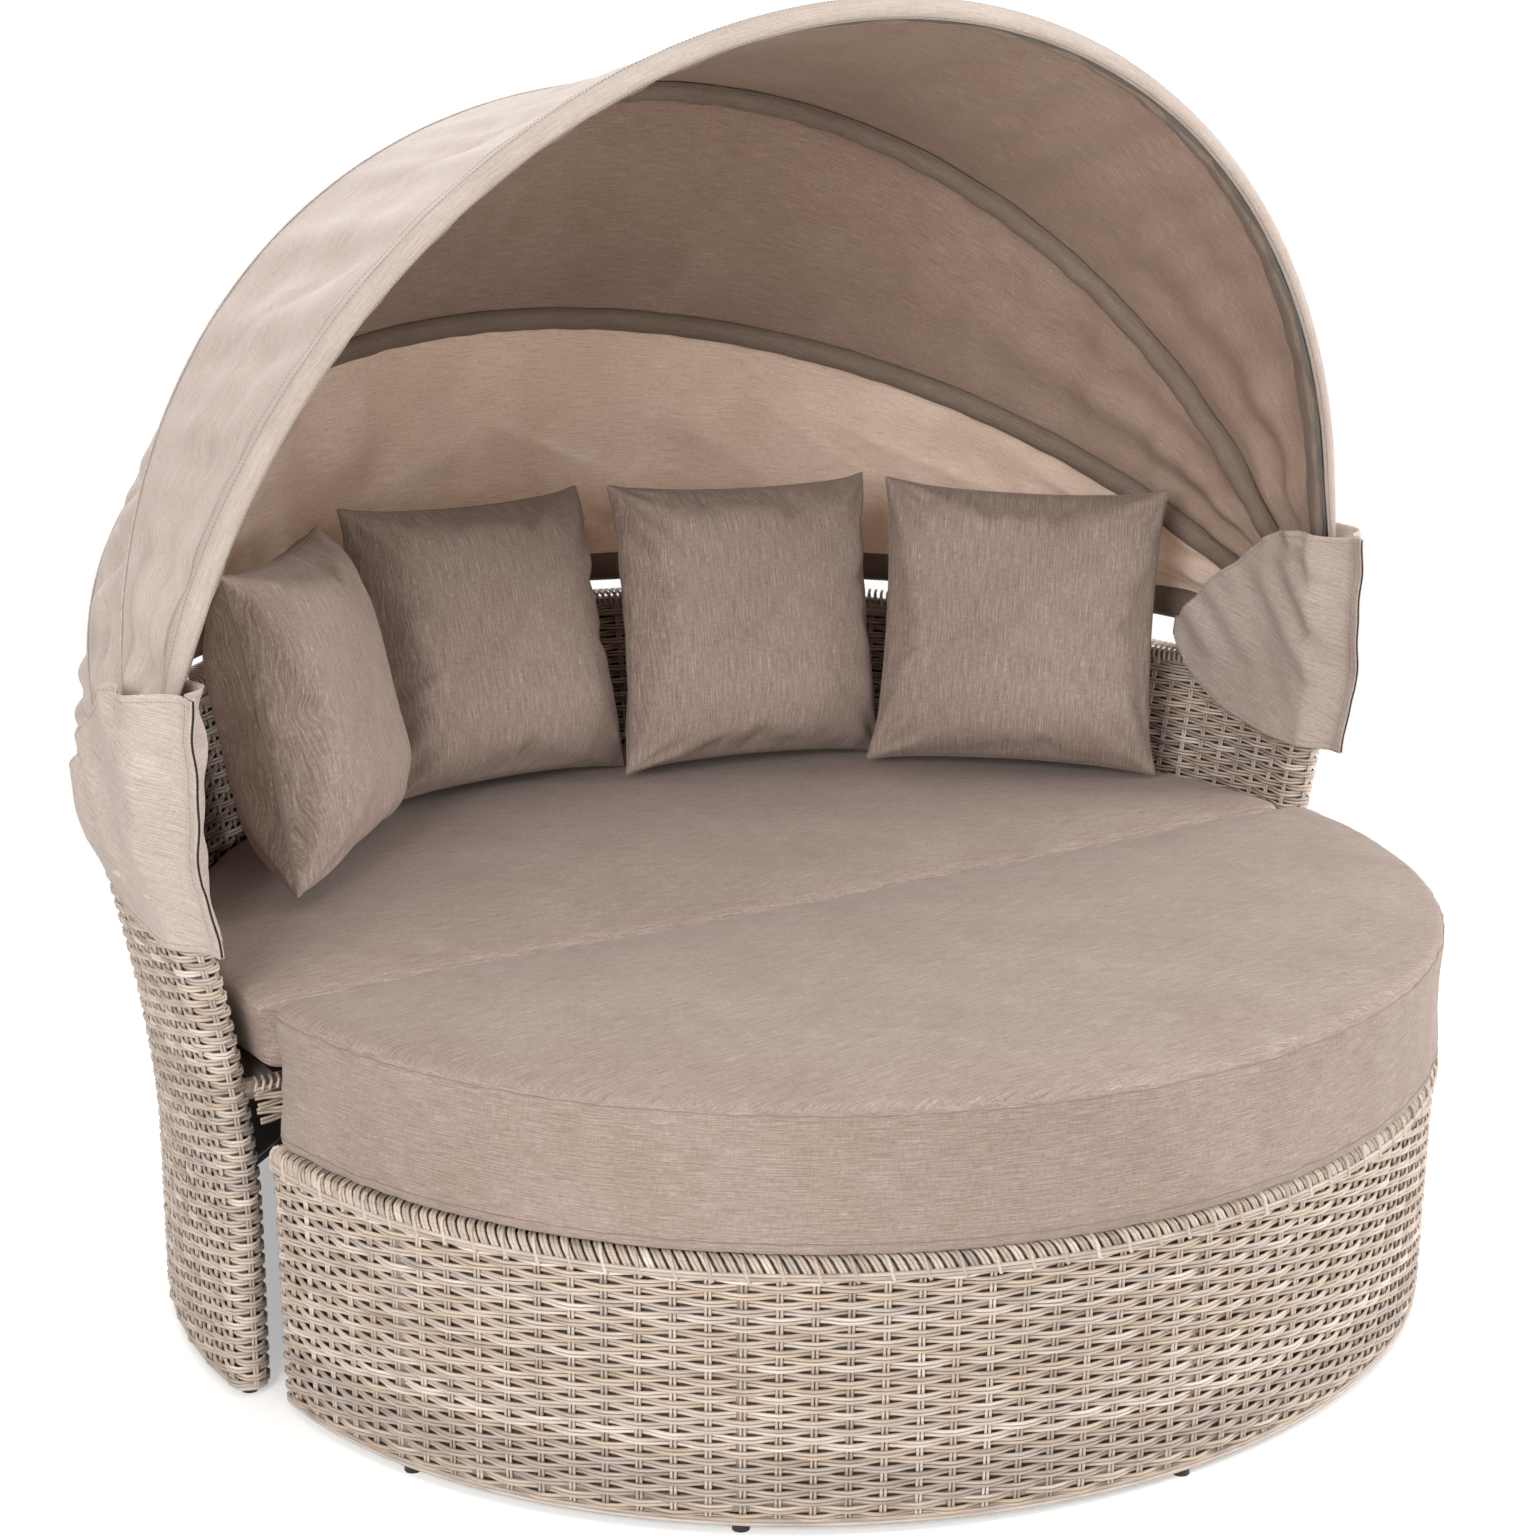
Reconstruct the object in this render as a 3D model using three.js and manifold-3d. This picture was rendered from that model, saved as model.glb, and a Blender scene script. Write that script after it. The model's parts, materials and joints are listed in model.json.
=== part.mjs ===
// Round outdoor daybed with a folding canopy, in millimetres, +Z up.
// A sofa unit with a flared woven wall stands behind a half-round woven ottoman.
// The canopy is three panels of cloth on four bent bows, which share one pivot on each arm.
import * as THREE from 'three';
import * as BufferGeometryUtils from 'three/addons/utils/BufferGeometryUtils.js';
import Module from 'manifold-3d';

const wasm = await Module();
wasm.setup();

// Clearances
const restGap = 0.3;      // between a piece and what it rests on
const clothGap = 4;       // between cloth and the rigid piece beside it
const cushionGap = 6;     // between a cushion and the wall round it
const overrun = 20;       // how far a cutter runs past what it cuts

// Sofa wall: a woven skin round a tube frame, flared outward towards its rim
const wallCentreY = 70;
const wallFloorRadius = 812;
const wallFlare = 81;
const wallRimRadius = wallFloorRadius + wallFlare;
const wallFlareStart = 230;
const wallFlareShare = 1.6;
const wallThickness = 55;
const wallSkin = 5;
const wallBottom = 12;
const wallTopCorner = 14;
const armHeight = 650;
const backHeight = 698;
const armFront = 20;
const armLevelAngle = THREE.MathUtils.degToRad(14);
const backLevelAngle = THREE.MathUtils.degToRad(62);

// Tube frames
const frameTubeRadius = 11;
const postTubeRadius = 9;
const baseRingHeight = 30;
const rimTubeDrop = 21;
const seatRingInset = 70;
const seatRingRadius = wallFloorRadius - seatRingInset;
const footRadius = 10;
const footCount = 5;
const uprightAngles = [8, 35, 62.5, 90, 117.5, 145, 172].map(THREE.MathUtils.degToRad);

// Seat of the sofa
const seatBottom = 400;
const seatTop = 486;
const slatThickness = 15;
const slatWidth = 45;
const slatPitchShare = 0.197;
const slatPitch = wallFloorRadius * slatPitchShare;
const slatCount = 9;
const battenWidth = 30;
const battenThickness = 6;
const battenBite = 1;
const seatBattens = [150, 330];
const apronFront = 24;
const apronBack = 74;
const apronBottom = 331;
const apronSkin = 4;
const apronLip = 15;
const apronSideGap = 3;

// Ottoman: a woven half-round skirt with a plaited rim, a slatted top and a thick cushion
const ottomanBack = -4;
const seamGap = 3;
const skirtSideInset = 36;
const skirtHalfWidth = wallFloorRadius - skirtSideInset;
const skirtDepth = 728;
const skirtTaperSide = 4;
const skirtTaperFront = 11;
const skirtBottom = 12;
const skirtSkin = 5;
const ottomanRimTop = 324;
const ottomanRimHeight = 24;
const ottomanRimWidth = 34;
const ottomanCorner = 26;
const cushionSideOverhang = 4;
const cushionFrontOverhang = 22;
const ottomanCushionHalfWidth = skirtHalfWidth + cushionSideOverhang;
const ottomanCushionDepth = skirtDepth + cushionFrontOverhang;
const ottomanCushionTop = 494;
const ottomanSlatCount = 9;
const ottomanSlatPitchShare = 0.2034;
const ottomanSlatPitch = skirtHalfWidth * ottomanSlatPitchShare;
const ottomanBatten = -230;

// Canopy pivots, one on top of each arm, with the flat bow ends stacked on one bolt
const pivotY = 75;
const pivotRise = 40;
const pivotHeight = armHeight + pivotRise;
const boltRadius = 4;
const boltClearance = 0.3;
const bowEndThickness = 4;
const washerThickness = 1.4;
const stackGap = 0.05;
const stackInset = 4.6;
const cheekThickness = 4;
const cheekWidth = 44;
const cheekCrown = 24;
const flangeThickness = 4;
const flangeInner = 27;
const flangeLength = 72;
const boltHeadRadius = 7.5;
const boltHeadThickness = 5;
const nutRadius = 8;
const nutThickness = 6.5;
const washerRadius = 10;
const screwRadius = 3;
const screwHeadRadius = 5.5;
const screwHeadHeight = 3;
const screwSpacing = 48;

// Bows: bent tubes with flattened ends, listed from the front one to the rear one. The rear one
// has no angle of its own: it passes with a set rise over the rim's inner edge, where the back
// starts to fall towards the arms.
const bowTubeRadius = 9.5;
const bowFlatHalfHeight = 12;
const bowFlatLength = 180;
const bowTaperLength = 50;
const bowEndReach = 13;
const bowHubReach = 16;
const canopyInset = 23;
const canopyReach = wallRimRadius - canopyInset;
const rearBowRise = 21.5;
const rimInnerReach = wallCentreY + (wallRimRadius - wallThickness) * Math.sin(backLevelAngle) - pivotY;
const rearBowClimb = Math.atan2(backHeight + rearBowRise - pivotHeight, rimInnerReach);
const rearBowAngle = THREE.MathUtils.radToDeg(rearBowClimb);
const bows = [
  { name: 'front_bow', angle: 102.3, reachShare: 1.0299 },
  { name: 'third_bow', angle: 62.4, reachShare: 0.9908 },
  { name: 'second_bow', angle: 29.9, reachShare: 0.9954 },
  { name: 'rear_bow', angle: rearBowAngle, reachShare: 1.0046 },
];

// Canopy cloth
const clothThickness = 3;
const bowClothGap = 1.5;
const panelStart = 62;
const panelSag = 9;
const foldDepth = 7;
const pocketRadius = 12.3;

// Ears: two cloth leaves on each arm, joined at the front by a touch strip
const earDrop = 128;
const earRise = 168;
const earWidest = pivotHeight;
const earBottom = earWidest - earDrop;
const earTop = earWidest + earRise;
const earReach = 285;
const earTopReach = 96;
const earTipReach = 34;
const earEndHalfHeight = 12;
const earFront = -32;
const earColumnShares = [0.1009, 0.1388, 0.1767, 0.2145, 0.2587, 0.4164, 0.5899, 0.7634, 0.9054];
const earHugDrop = 50;
const earHugTop = armHeight - earHugDrop;
const earRipple = 5;
const earFrontBlend = 50;
const earOuterRest = 1.5;
const earOuterFlare = 9;
const earInnerRest = 2.5;
const earInnerFlare = 5;
const earLeaves = [
  { name: 'ear_outer', sign: 1, rest: earOuterRest, flare: earOuterFlare },
  { name: 'ear_inner', sign: -1, rest: earInnerRest, flare: earInnerFlare },
];
const stripWidth = 18;
const stripThickness = 2;

// Scatter cushions
const pillowSize = 420;
const pillowThickness = 150;
const pillowSeamHeight = 3;
const pillowDrawnShare = 0.075;
// Each one's place is an angle round the wall's centre, a share of the wall's radius, and a rise
// above the seat as a share of the cushion's size
const pillows = [
  { name: 'pillow_1', around: 143.39, radiusShare: 0.764, riseShare: 0.531, roll: 2, lean: -12, yaw: 49 },
  { name: 'pillow_2', around: 102.69, radiusShare: 0.7398, riseShare: 0.5238, roll: 2, lean: -17, yaw: 8 },
  { name: 'pillow_3', around: 64.18, radiusShare: 0.6786, riseShare: 0.5286, roll: 2, lean: -12, yaw: -6 },
  { name: 'pillow_4', around: 26.73, radiusShare: 0.7722, riseShare: 0.5134, roll: 2, lean: -14, yaw: -38 },
];

// Cushion form
const seatFront = ottomanBack + seamGap;
const cushionCrown = 12;
const cushionDrawIn = 7;
const cushionEdge = 10;

// Facets
const tubeSides = 6;
const boltSides = 10;
const frameSteps = 16;
const wallStations = 24;
const deeSteps = 22;
const bowSides = 8;
const bowSteps = 16;
const panelColumns = 4;

// Materials
function finish(color, roughness, metalness) {
  return () => new THREE.MeshStandardMaterial({ color, roughness, metalness });
}
const wicker = finish(0xb5a48f, 0.6, 0);
const cloth = finish(0x9c8574, 0.9, 0);
const frameMetal = finish(0x8a8d90, 0.45, 0.8);
const bowMetal = finish(0x6d6a66, 0.4, 0.8);
const zincSteel = finish(0xa9acb0, 0.35, 0.9);
const blackPlastic = finish(0x1a1a1a, 0.6, 0);
const slatWood = finish(0x8b7355, 0.7, 0);

const daybed = new THREE.Group();

function add(name, geometry, material) {
  const mesh = new THREE.Mesh(geometry, material());
  mesh.name = name;
  daybed.add(mesh);
  return mesh;
}

// Mesh helpers
function indexed(points, faces) {
  const geometry = new THREE.BufferGeometry();
  const numbers = points.flatMap((p) => [p.x, p.y, p.z]);
  geometry.setAttribute('position', new THREE.Float32BufferAttribute(numbers, 3));
  geometry.setIndex(signedVolume(points, faces) < 0 ? turned(faces) : faces);
  geometry.computeVertexNormals();
  return geometry;
}

function signedVolume(points, faces) {
  let volume = 0;
  for (let i = 0; i < faces.length; i += 3) {
    const [a, b, c] = [points[faces[i]], points[faces[i + 1]], points[faces[i + 2]]];
    volume += a.dot(new THREE.Vector3().crossVectors(b, c));
  }
  return volume;
}

function turned(faces) {
  const result = [];
  for (let i = 0; i < faces.length; i += 3) {
    result.push(faces[i], faces[i + 2], faces[i + 1]);
  }
  return result;
}

function sideFaces(ringCount, count, loop) {
  const faces = [];
  const last = loop ? ringCount : ringCount - 1;
  for (let ring = 0; ring < last; ring++) {
    const next = (ring + 1) % ringCount;
    for (let i = 0; i < count; i++) {
      const j = (i + 1) % count;
      faces.push(ring * count + i, ring * count + j, next * count + j);
      faces.push(ring * count + i, next * count + j, next * count + i);
    }
  }
  return faces;
}

// A body through rings of points. Each ring runs out along one side and back along the other,
// so its two ends close with a strip between facing points.
function loft(rings) {
  const count = rings[0].length;
  const faces = sideFaces(rings.length, count, false);
  const far = (rings.length - 1) * count;
  for (let i = 0; i < count / 2 - 1; i++) {
    const [a, b, c, d] = [i, i + 1, count - 2 - i, count - 1 - i];
    faces.push(a, c, b, a, d, c);
    faces.push(far + a, far + b, far + c, far + a, far + c, far + d);
  }
  return indexed(rings.flat(), faces);
}

function loopLoft(rings) {
  return indexed(rings.flat(), sideFaces(rings.length, rings[0].length, true));
}

// A body through stacked rings, closed by one point at each end
function poleLoft(rings, firstPole, lastPole) {
  const count = rings[0].length;
  const points = [...rings.flat(), firstPole, lastPole];
  const faces = sideFaces(rings.length, count, false);
  const far = (rings.length - 1) * count;
  for (let i = 0; i < count; i++) {
    const j = (i + 1) % count;
    faces.push(points.length - 2, j, i);
    faces.push(points.length - 1, far + i, far + j);
  }
  return indexed(points, faces);
}

function toSolid(geometry) {
  const bare = geometry.clone();
  bare.deleteAttribute('normal');
  bare.deleteAttribute('uv');
  const merged = BufferGeometryUtils.mergeVertices(bare);
  const vertProperties = new Float32Array(merged.attributes.position.array);
  const triVerts = new Uint32Array(merged.index.array);
  return new wasm.Manifold(new wasm.Mesh({ numProp: 3, vertProperties, triVerts }));
}

function fromSolid(solid) {
  const mesh = solid.getMesh();
  const geometry = new THREE.BufferGeometry();
  geometry.setAttribute('position', new THREE.BufferAttribute(new Float32Array(mesh.vertProperties), 3));
  geometry.setIndex(new THREE.BufferAttribute(new Uint32Array(mesh.triVerts), 1));
  geometry.computeVertexNormals();
  return geometry;
}

function joined(geometries) {
  return geometries.map(toSolid).reduce((whole, next) => whole.add(next));
}

function placedBox(x0, x1, y0, y1, z0, z1) {
  const box = new THREE.BoxGeometry(x1 - x0, y1 - y0, z1 - z0);
  return box.translate((x0 + x1) / 2, (y0 + y1) / 2, (z0 + z1) / 2);
}

// The flats of a tube lie at its radius, so that what rests on it touches a flat
function roundSection(radius, sides) {
  const cornerRadius = radius / Math.cos(Math.PI / sides);
  const corners = Array.from({ length: sides }, (_, i) => {
    const turn = (2 * Math.PI * (i + 0.5)) / sides;
    return new THREE.Vector2(cornerRadius * Math.cos(turn), cornerRadius * Math.sin(turn));
  });
  return new THREE.Shape(corners);
}

function tube(points, radius, steps, sides = tubeSides) {
  const extrudePath = new THREE.CatmullRomCurve3(points);
  return new THREE.ExtrudeGeometry(roundSection(radius, sides), { steps, extrudePath });
}

// A rod along X between two places
function rodAlongX(x0, x1, y, z, radius, sides = boltSides) {
  const rod = new THREE.CylinderGeometry(radius, radius, Math.abs(x1 - x0), sides);
  return rod.rotateZ(Math.PI / 2).translate((x0 + x1) / 2, y, z);
}

function rodAlongZ(x, y, z0, z1, radius, sides = boltSides) {
  const rod = new THREE.CylinderGeometry(radius, radius, z1 - z0, sides);
  return rod.rotateX(Math.PI / 2).translate(x, y, (z0 + z1) / 2);
}

function smooth(value) {
  const x = THREE.MathUtils.clamp(value, 0, 1);
  return x * x * (3 - 2 * x);
}

function mirrored(geometry) {
  const copy = geometry.clone().scale(-1, 1, 1);
  const { index } = copy.index ? copy : BufferGeometryUtils.mergeVertices(copy);
  copy.setIndex(turned(Array.from(index.array)));
  copy.computeVertexNormals();
  return copy;
}

// Sofa wall
const wallHalf = wallThickness / 2;
const armEndAngle = Math.asin((armFront + wallHalf - wallCentreY) / wallFloorRadius);

function wallRadius(z) {
  const rise = Math.max(0, (z - wallFlareStart) / (backHeight - wallFlareStart));
  return wallFloorRadius + (wallRimRadius - wallFloorRadius) * rise ** wallFlareShare;
}

function rimHeight(angle) {
  const fromArm = Math.min(angle, Math.PI - angle);
  const rise = smooth((fromArm - armLevelAngle) / (backLevelAngle - armLevelAngle));
  return armHeight + (backHeight - armHeight) * rise;
}

function wallPoint(angle, offset, z) {
  const radius = wallRadius(z) - wallHalf + offset;
  return new THREE.Vector3(radius * Math.cos(angle), wallCentreY + radius * Math.sin(angle), z);
}

const wallLevelShares = [0, 0.4, 0.68, 0.88];

// The section of the wall as offsets and heights, narrowed by a share at a rounded nose
function wallSection(angle, inset, narrowShare) {
  const half = (wallHalf - inset) * narrowShare;
  const corner = (wallTopCorner - inset / 2) * narrowShare;
  const top = rimHeight(angle) - inset - wallHalf * (1 - narrowShare) / 2;
  const bottom = inset > 0 ? wallBottom - overrun : wallBottom;
  const side = wallLevelShares.map((share) => [half, bottom + (top - corner - bottom) * share]);
  const turns = [0, 45, 90].map(THREE.MathUtils.degToRad);
  const arc = turns.map((turn) => [half - corner + corner * Math.cos(turn), top - corner + corner * Math.sin(turn)]);
  const outer = [...side, ...arc];
  const inner = outer.map(([offset, z]) => [-offset, z]).reverse();
  return [...outer, ...inner];
}

function wallBody(inset) {
  const noseTurns = [80, 55, 28].map(THREE.MathUtils.degToRad);
  const rings = [];
  const ringAt = (angle, forward, narrowShare) => {
    const section = wallSection(angle, inset, narrowShare);
    const shift = new THREE.Vector3(0, -forward, 0);
    rings.push(section.map(([offset, z]) => wallPoint(angle, offset, z).add(shift)));
  };
  const nose = (angle, turn) => ringAt(angle, (wallHalf - inset) * Math.sin(turn), Math.cos(turn));
  noseTurns.forEach((turn) => nose(armEndAngle, turn));
  for (let i = 0; i <= wallStations; i++) {
    ringAt(armEndAngle + ((Math.PI - 2 * armEndAngle) * i) / wallStations, 0, 1);
  }
  [...noseTurns].reverse().forEach((turn) => nose(Math.PI - armEndAngle, turn));
  return loft(rings);
}

const seatRingHeight = seatBottom - restGap - slatThickness - restGap - frameTubeRadius;
const railHeight = seatRingHeight;
const railY = (apronFront + apronBack) / 2;

function arcPoints(radius, z, fromAngle, toAngle, steps) {
  return Array.from({ length: steps + 1 }, (_, i) => {
    const angle = fromAngle + ((toAngle - fromAngle) * i) / steps;
    return new THREE.Vector3(radius * Math.cos(angle), wallCentreY + radius * Math.sin(angle), z);
  });
}

function rimTubePath() {
  return Array.from({ length: frameSteps + 1 }, (_, i) => {
    const angle = armEndAngle + ((Math.PI - 2 * armEndAngle) * i) / frameSteps;
    return wallPoint(angle, 0, rimHeight(angle) - rimTubeDrop);
  });
}

function upright(angle) {
  const top = rimHeight(angle) - rimTubeDrop;
  const heightShares = [0, 0.6, 1];
  const points = heightShares.map((share) => wallPoint(angle, 0, THREE.MathUtils.lerp(baseRingHeight, top, share)));
  return tube(points, frameTubeRadius, heightShares.length);
}

function ringStub(angle) {
  const inner = new THREE.Vector3(seatRingRadius, 0, seatRingHeight);
  const outer = new THREE.Vector3(wallRadius(seatRingHeight) - wallHalf, 0, seatRingHeight);
  const stub = tube([inner, outer], frameTubeRadius, 1);
  return stub.rotateZ(angle).translate(0, wallCentreY, 0);
}

const railReach = wallRadius(railHeight) - wallHalf;

function frontRail(radius) {
  const ends = [-railReach, railReach].map((x) => new THREE.Vector3(x, railY, railHeight));
  return tube(ends, radius, 1);
}

// Screws that hold a pivot bracket down on the rim tube
const screwPlaces = [-0.5, 0.5].map((share) => pivotY + screwSpacing * share);
const armTopCentreX = wallRadius(armHeight) - wallHalf;
const screwX = armTopCentreX - wallTopCorner / 2;

function screwHoles() {
  const bottom = armHeight - rimTubeDrop;
  const top = armHeight + overrun;
  const hole = (side, y) => rodAlongZ(side * screwX, y, bottom, top, screwRadius + boltClearance);
  return joined([-1, 1].flatMap((side) => screwPlaces.map((y) => hole(side, y))));
}

function buildSofaFrame() {
  const ends = [armEndAngle, Math.PI - armEndAngle];
  const baseRadius = wallRadius(baseRingHeight) - wallHalf;
  const pieces = [
    tube(arcPoints(baseRadius, baseRingHeight, ...ends, frameSteps), frameTubeRadius, frameSteps),
    tube(rimTubePath(), frameTubeRadius, frameSteps),
    tube(arcPoints(seatRingRadius, seatRingHeight, ...ends, frameSteps), frameTubeRadius, frameSteps),
    frontRail(frameTubeRadius),
    ...ends.map(upright),
    ...uprightAngles.map(upright),
    ...uprightAngles.map(ringStub),
  ];
  add('sofa_frame', fromSolid(joined(pieces).subtract(screwHoles())), frameMetal);
}

// The inner skin stops below the seat, except at the two arm ends
function underSeatCutter() {
  const radius = wallFloorRadius - wallHalf;
  const top = seatRingHeight + frameTubeRadius + clothGap;
  const bottom = wallBottom - overrun;
  const drum = new THREE.CylinderGeometry(radius, radius, top - bottom, wallStations * 3);
  drum.rotateX(Math.PI / 2).translate(0, wallCentreY, (top + bottom) / 2);
  const front = armFront + wallThickness + overrun;
  const half = placedBox(-radius - overrun, radius + overrun, front, radius * 2, bottom - overrun, top + overrun);
  return toSolid(drum).intersect(toSolid(half));
}

function buildSofaWicker() {
  const skin = toSolid(wallBody(0)).subtract(toSolid(wallBody(wallSkin)));
  const open = skin.subtract(underSeatCutter());
  const woven = open.subtract(toSolid(frontRail(frameTubeRadius + restGap))).subtract(screwHoles());
  add('sofa_wicker', fromSolid(woven), wicker);
}

// The woven cover of the front rail is a channel that is open to the back
function buildApron() {
  const top = railHeight + frameTubeRadius + restGap + apronSkin;
  const outline = [
    [apronBack, apronBottom],
    [apronFront, apronBottom],
    [apronFront, top],
    [apronFront + apronLip + apronSkin, top],
    [apronFront + apronLip + apronSkin, top - apronSkin],
    [apronFront + apronSkin, top - apronSkin],
    [apronFront + apronSkin, apronBottom + apronSkin],
    [apronBack, apronBottom + apronSkin],
  ];
  const reach = wallRadius(apronBottom) - wallThickness - apronSideGap;
  const rings = [-reach, reach].map((x) => outline.map(([y, z]) => new THREE.Vector3(x, y, z)));
  add('sofa_apron', loft(rings), wicker);
}

function slatX(index, count, pitch) {
  return (index - (count - 1) / 2) * pitch;
}

// Slats along Y, held together by battens under them
function slatDeck(count, pitch, bottom, extentAt, battens) {
  const top = bottom + slatThickness;
  const slats = Array.from({ length: count }, (_, i) => {
    const x = slatX(i, count, pitch);
    const [y0, y1] = extentAt(Math.abs(x) + slatWidth / 2);
    return placedBox(x - slatWidth / 2, x + slatWidth / 2, y0, y1, bottom, top);
  });
  const reach = -slatX(0, count, pitch) + slatWidth / 2;
  const low = bottom - battenThickness;
  const strips = battens.map((y) => {
    return placedBox(-reach, reach, y - battenWidth / 2, y + battenWidth / 2, low, bottom + battenBite);
  });
  return fromSolid(joined([...slats, ...strips]));
}

function buildSeatSlats() {
  const front = apronFront + apronLip + apronSkin + restGap;
  const reach = seatRingRadius + frameTubeRadius;
  const extentAt = (x) => [front, wallCentreY + Math.sqrt(reach ** 2 - x ** 2)];
  const bottom = seatBottom - restGap - slatThickness;
  add('seat_slats', slatDeck(slatCount, slatPitch, bottom, extentAt, seatBattens), slatWood);
}

function buildFeet() {
  const top = baseRingHeight - frameTubeRadius - restGap;
  const radius = wallRadius(baseRingHeight) - wallHalf;
  for (let i = 0; i < footCount; i++) {
    const angle = armEndAngle + ((Math.PI - 2 * armEndAngle) * i) / (footCount - 1);
    const y = wallCentreY + radius * Math.sin(angle);
    add(`sofa_foot_${i + 1}`, rodAlongZ(radius * Math.cos(angle), y, 0, top, footRadius), blackPlastic);
  }
}

// A half-round outline with small corners: an arc of an ellipse and a straight chord.
// The arc bulges towards -Y when side is -1, and straight is how far its middle lies from the chord.
function dee({ halfWidth, depth, chord, straight, corner, side }, inset) {
  const radiusX = halfWidth - inset;
  const radiusY = depth - inset;
  const middle = chord + side * straight;
  const back = chord + side * inset;
  const small = Math.min(corner, radiusY / 2);
  const start = Math.asin(Math.max(0, inset + small - straight) / radiusY);
  const arc = Array.from({ length: deeSteps + 1 }, (_, i) => {
    const turn = start + ((Math.PI - 2 * start) * i) / deeSteps;
    return new THREE.Vector2(radiusX * Math.cos(turn), middle + side * radiusY * Math.sin(turn));
  });
  const bend = (from, to, control) => new THREE.QuadraticBezierCurve(from, control, to).getPoints(3);
  const leftEnd = arc[arc.length - 1];
  const rightEnd = arc[0];
  const leftBack = new THREE.Vector2(leftEnd.x + small, back);
  const rightBack = new THREE.Vector2(rightEnd.x - small, back);
  const shoulder = back + side * small;
  const lifted = side * leftEnd.y > side * shoulder + restGap ? 0 : 1;
  const leftSide = new THREE.Vector2(leftEnd.x, shoulder);
  const rightSide = new THREE.Vector2(rightEnd.x, shoulder);
  const left = bend(leftSide, leftBack, new THREE.Vector2(leftEnd.x, back)).slice(lifted);
  const right = bend(rightBack, rightSide, new THREE.Vector2(rightEnd.x, back));
  right.length -= lifted;
  const shares = [0.2, 0.4, 0.6, 0.8];
  const chordPoints = shares.map((share) => new THREE.Vector2().lerpVectors(leftBack, rightBack, share));
  return [...arc, ...left, ...chordPoints, ...right];
}

// A body whose section, given as insets and heights, runs round a half-round outline
function deeRing(shapeAt, section) {
  const outlines = section.map(([inset, z]) => dee(shapeAt(z), inset).map((p) => new THREE.Vector3(p.x, p.y, z)));
  const rings = outlines[0].map((_, i) => outlines.map((outline) => outline[i]));
  return loopLoft(rings);
}

function skirtShape(z) {
  const drop = 1 - THREE.MathUtils.clamp(z / ottomanRimTop, 0, 1);
  return {
    halfWidth: skirtHalfWidth - skirtTaperSide * drop,
    depth: skirtDepth - skirtTaperFront * drop,
    chord: ottomanBack,
    straight: 0,
    corner: ottomanCorner,
    side: -1,
  };
}

const skirtTop = ottomanRimTop - ottomanRimHeight;
const slatBarHeight = ottomanRimTop - skirtSkin - slatThickness - restGap - frameTubeRadius;
const ottomanTubeInset = ottomanRimWidth / 2;
const ottomanTubeHeight = ottomanRimTop - skirtSkin - frameTubeRadius - restGap;

function buildOttomanWicker() {
  const levels = [skirtBottom, skirtTop / 2, skirtTop - restGap];
  const section = [...levels.map((z) => [0, z]), ...[...levels].reverse().map((z) => [skirtSkin, z])];
  add('ottoman_wicker', deeRing(skirtShape, section), wicker);
}

// The plaited rim is a channel over the top tube, open underneath
function buildOttomanRim() {
  const edge = skirtSkin / 2;
  const inner = ottomanRimWidth - skirtSkin;
  const innerBottom = slatBarHeight + frameTubeRadius + restGap;
  const section = [
    [0, skirtTop],
    [0, ottomanRimTop - edge],
    [edge, ottomanRimTop],
    [ottomanRimWidth - edge, ottomanRimTop],
    [ottomanRimWidth, ottomanRimTop - edge],
    [ottomanRimWidth, innerBottom],
    [inner, innerBottom],
    [inner, ottomanRimTop - skirtSkin],
    [skirtSkin, ottomanRimTop - skirtSkin],
    [skirtSkin, skirtTop],
  ];
  add('ottoman_rim', deeRing(skirtShape, section), wicker);
}

function deeTube(inset, z) {
  const section = Array.from({ length: tubeSides }, (_, i) => {
    const turn = (2 * Math.PI * (i + 0.5)) / tubeSides;
    return [inset + frameTubeRadius * Math.cos(turn), z + frameTubeRadius * Math.sin(turn)];
  });
  return deeRing(() => skirtShape(z), section);
}

const postStations = [0.08, 0.29, 0.5, 0.71, 0.92].map((share) => Math.round(share * deeSteps));
const backPostShares = [-0.55, 0, 0.55];

function ottomanPostPlace(station, z) {
  const { x, y } = dee(skirtShape(z), ottomanTubeInset)[station];
  return new THREE.Vector3(x, y, z);
}

function backPostPlace(share, z) {
  const { halfWidth, chord, side } = skirtShape(z);
  return new THREE.Vector3(halfWidth * share, chord + side * ottomanTubeInset, z);
}

// Slats sit on two low bars that are welded across the ottoman, inside its rim
function crossBar(y) {
  const z = slatBarHeight;
  const { halfWidth, depth, chord } = skirtShape(z);
  const share = (chord - y) / (depth - ottomanTubeInset);
  const reach = (halfWidth - ottomanTubeInset) * Math.sqrt(1 - share ** 2);
  return tube([new THREE.Vector3(-reach, y, z), new THREE.Vector3(reach, y, z)], frameTubeRadius, 1);
}

const barPlaces = [0.22, 0.62].map((share) => ottomanBack - skirtDepth * share);

function buildOttomanFrame() {
  const post = (place) => tube([place(baseRingHeight), place(ottomanTubeHeight)], postTubeRadius, 1);
  const pieces = [
    deeTube(ottomanTubeInset, baseRingHeight),
    deeTube(ottomanTubeInset, ottomanTubeHeight),
    ...postStations.map((station) => post((z) => ottomanPostPlace(station, z))),
    ...backPostShares.map((share) => post((z) => backPostPlace(share, z))),
    ...barPlaces.map(crossBar),
  ];
  add('ottoman_frame', fromSolid(joined(pieces)), frameMetal);
}

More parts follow.
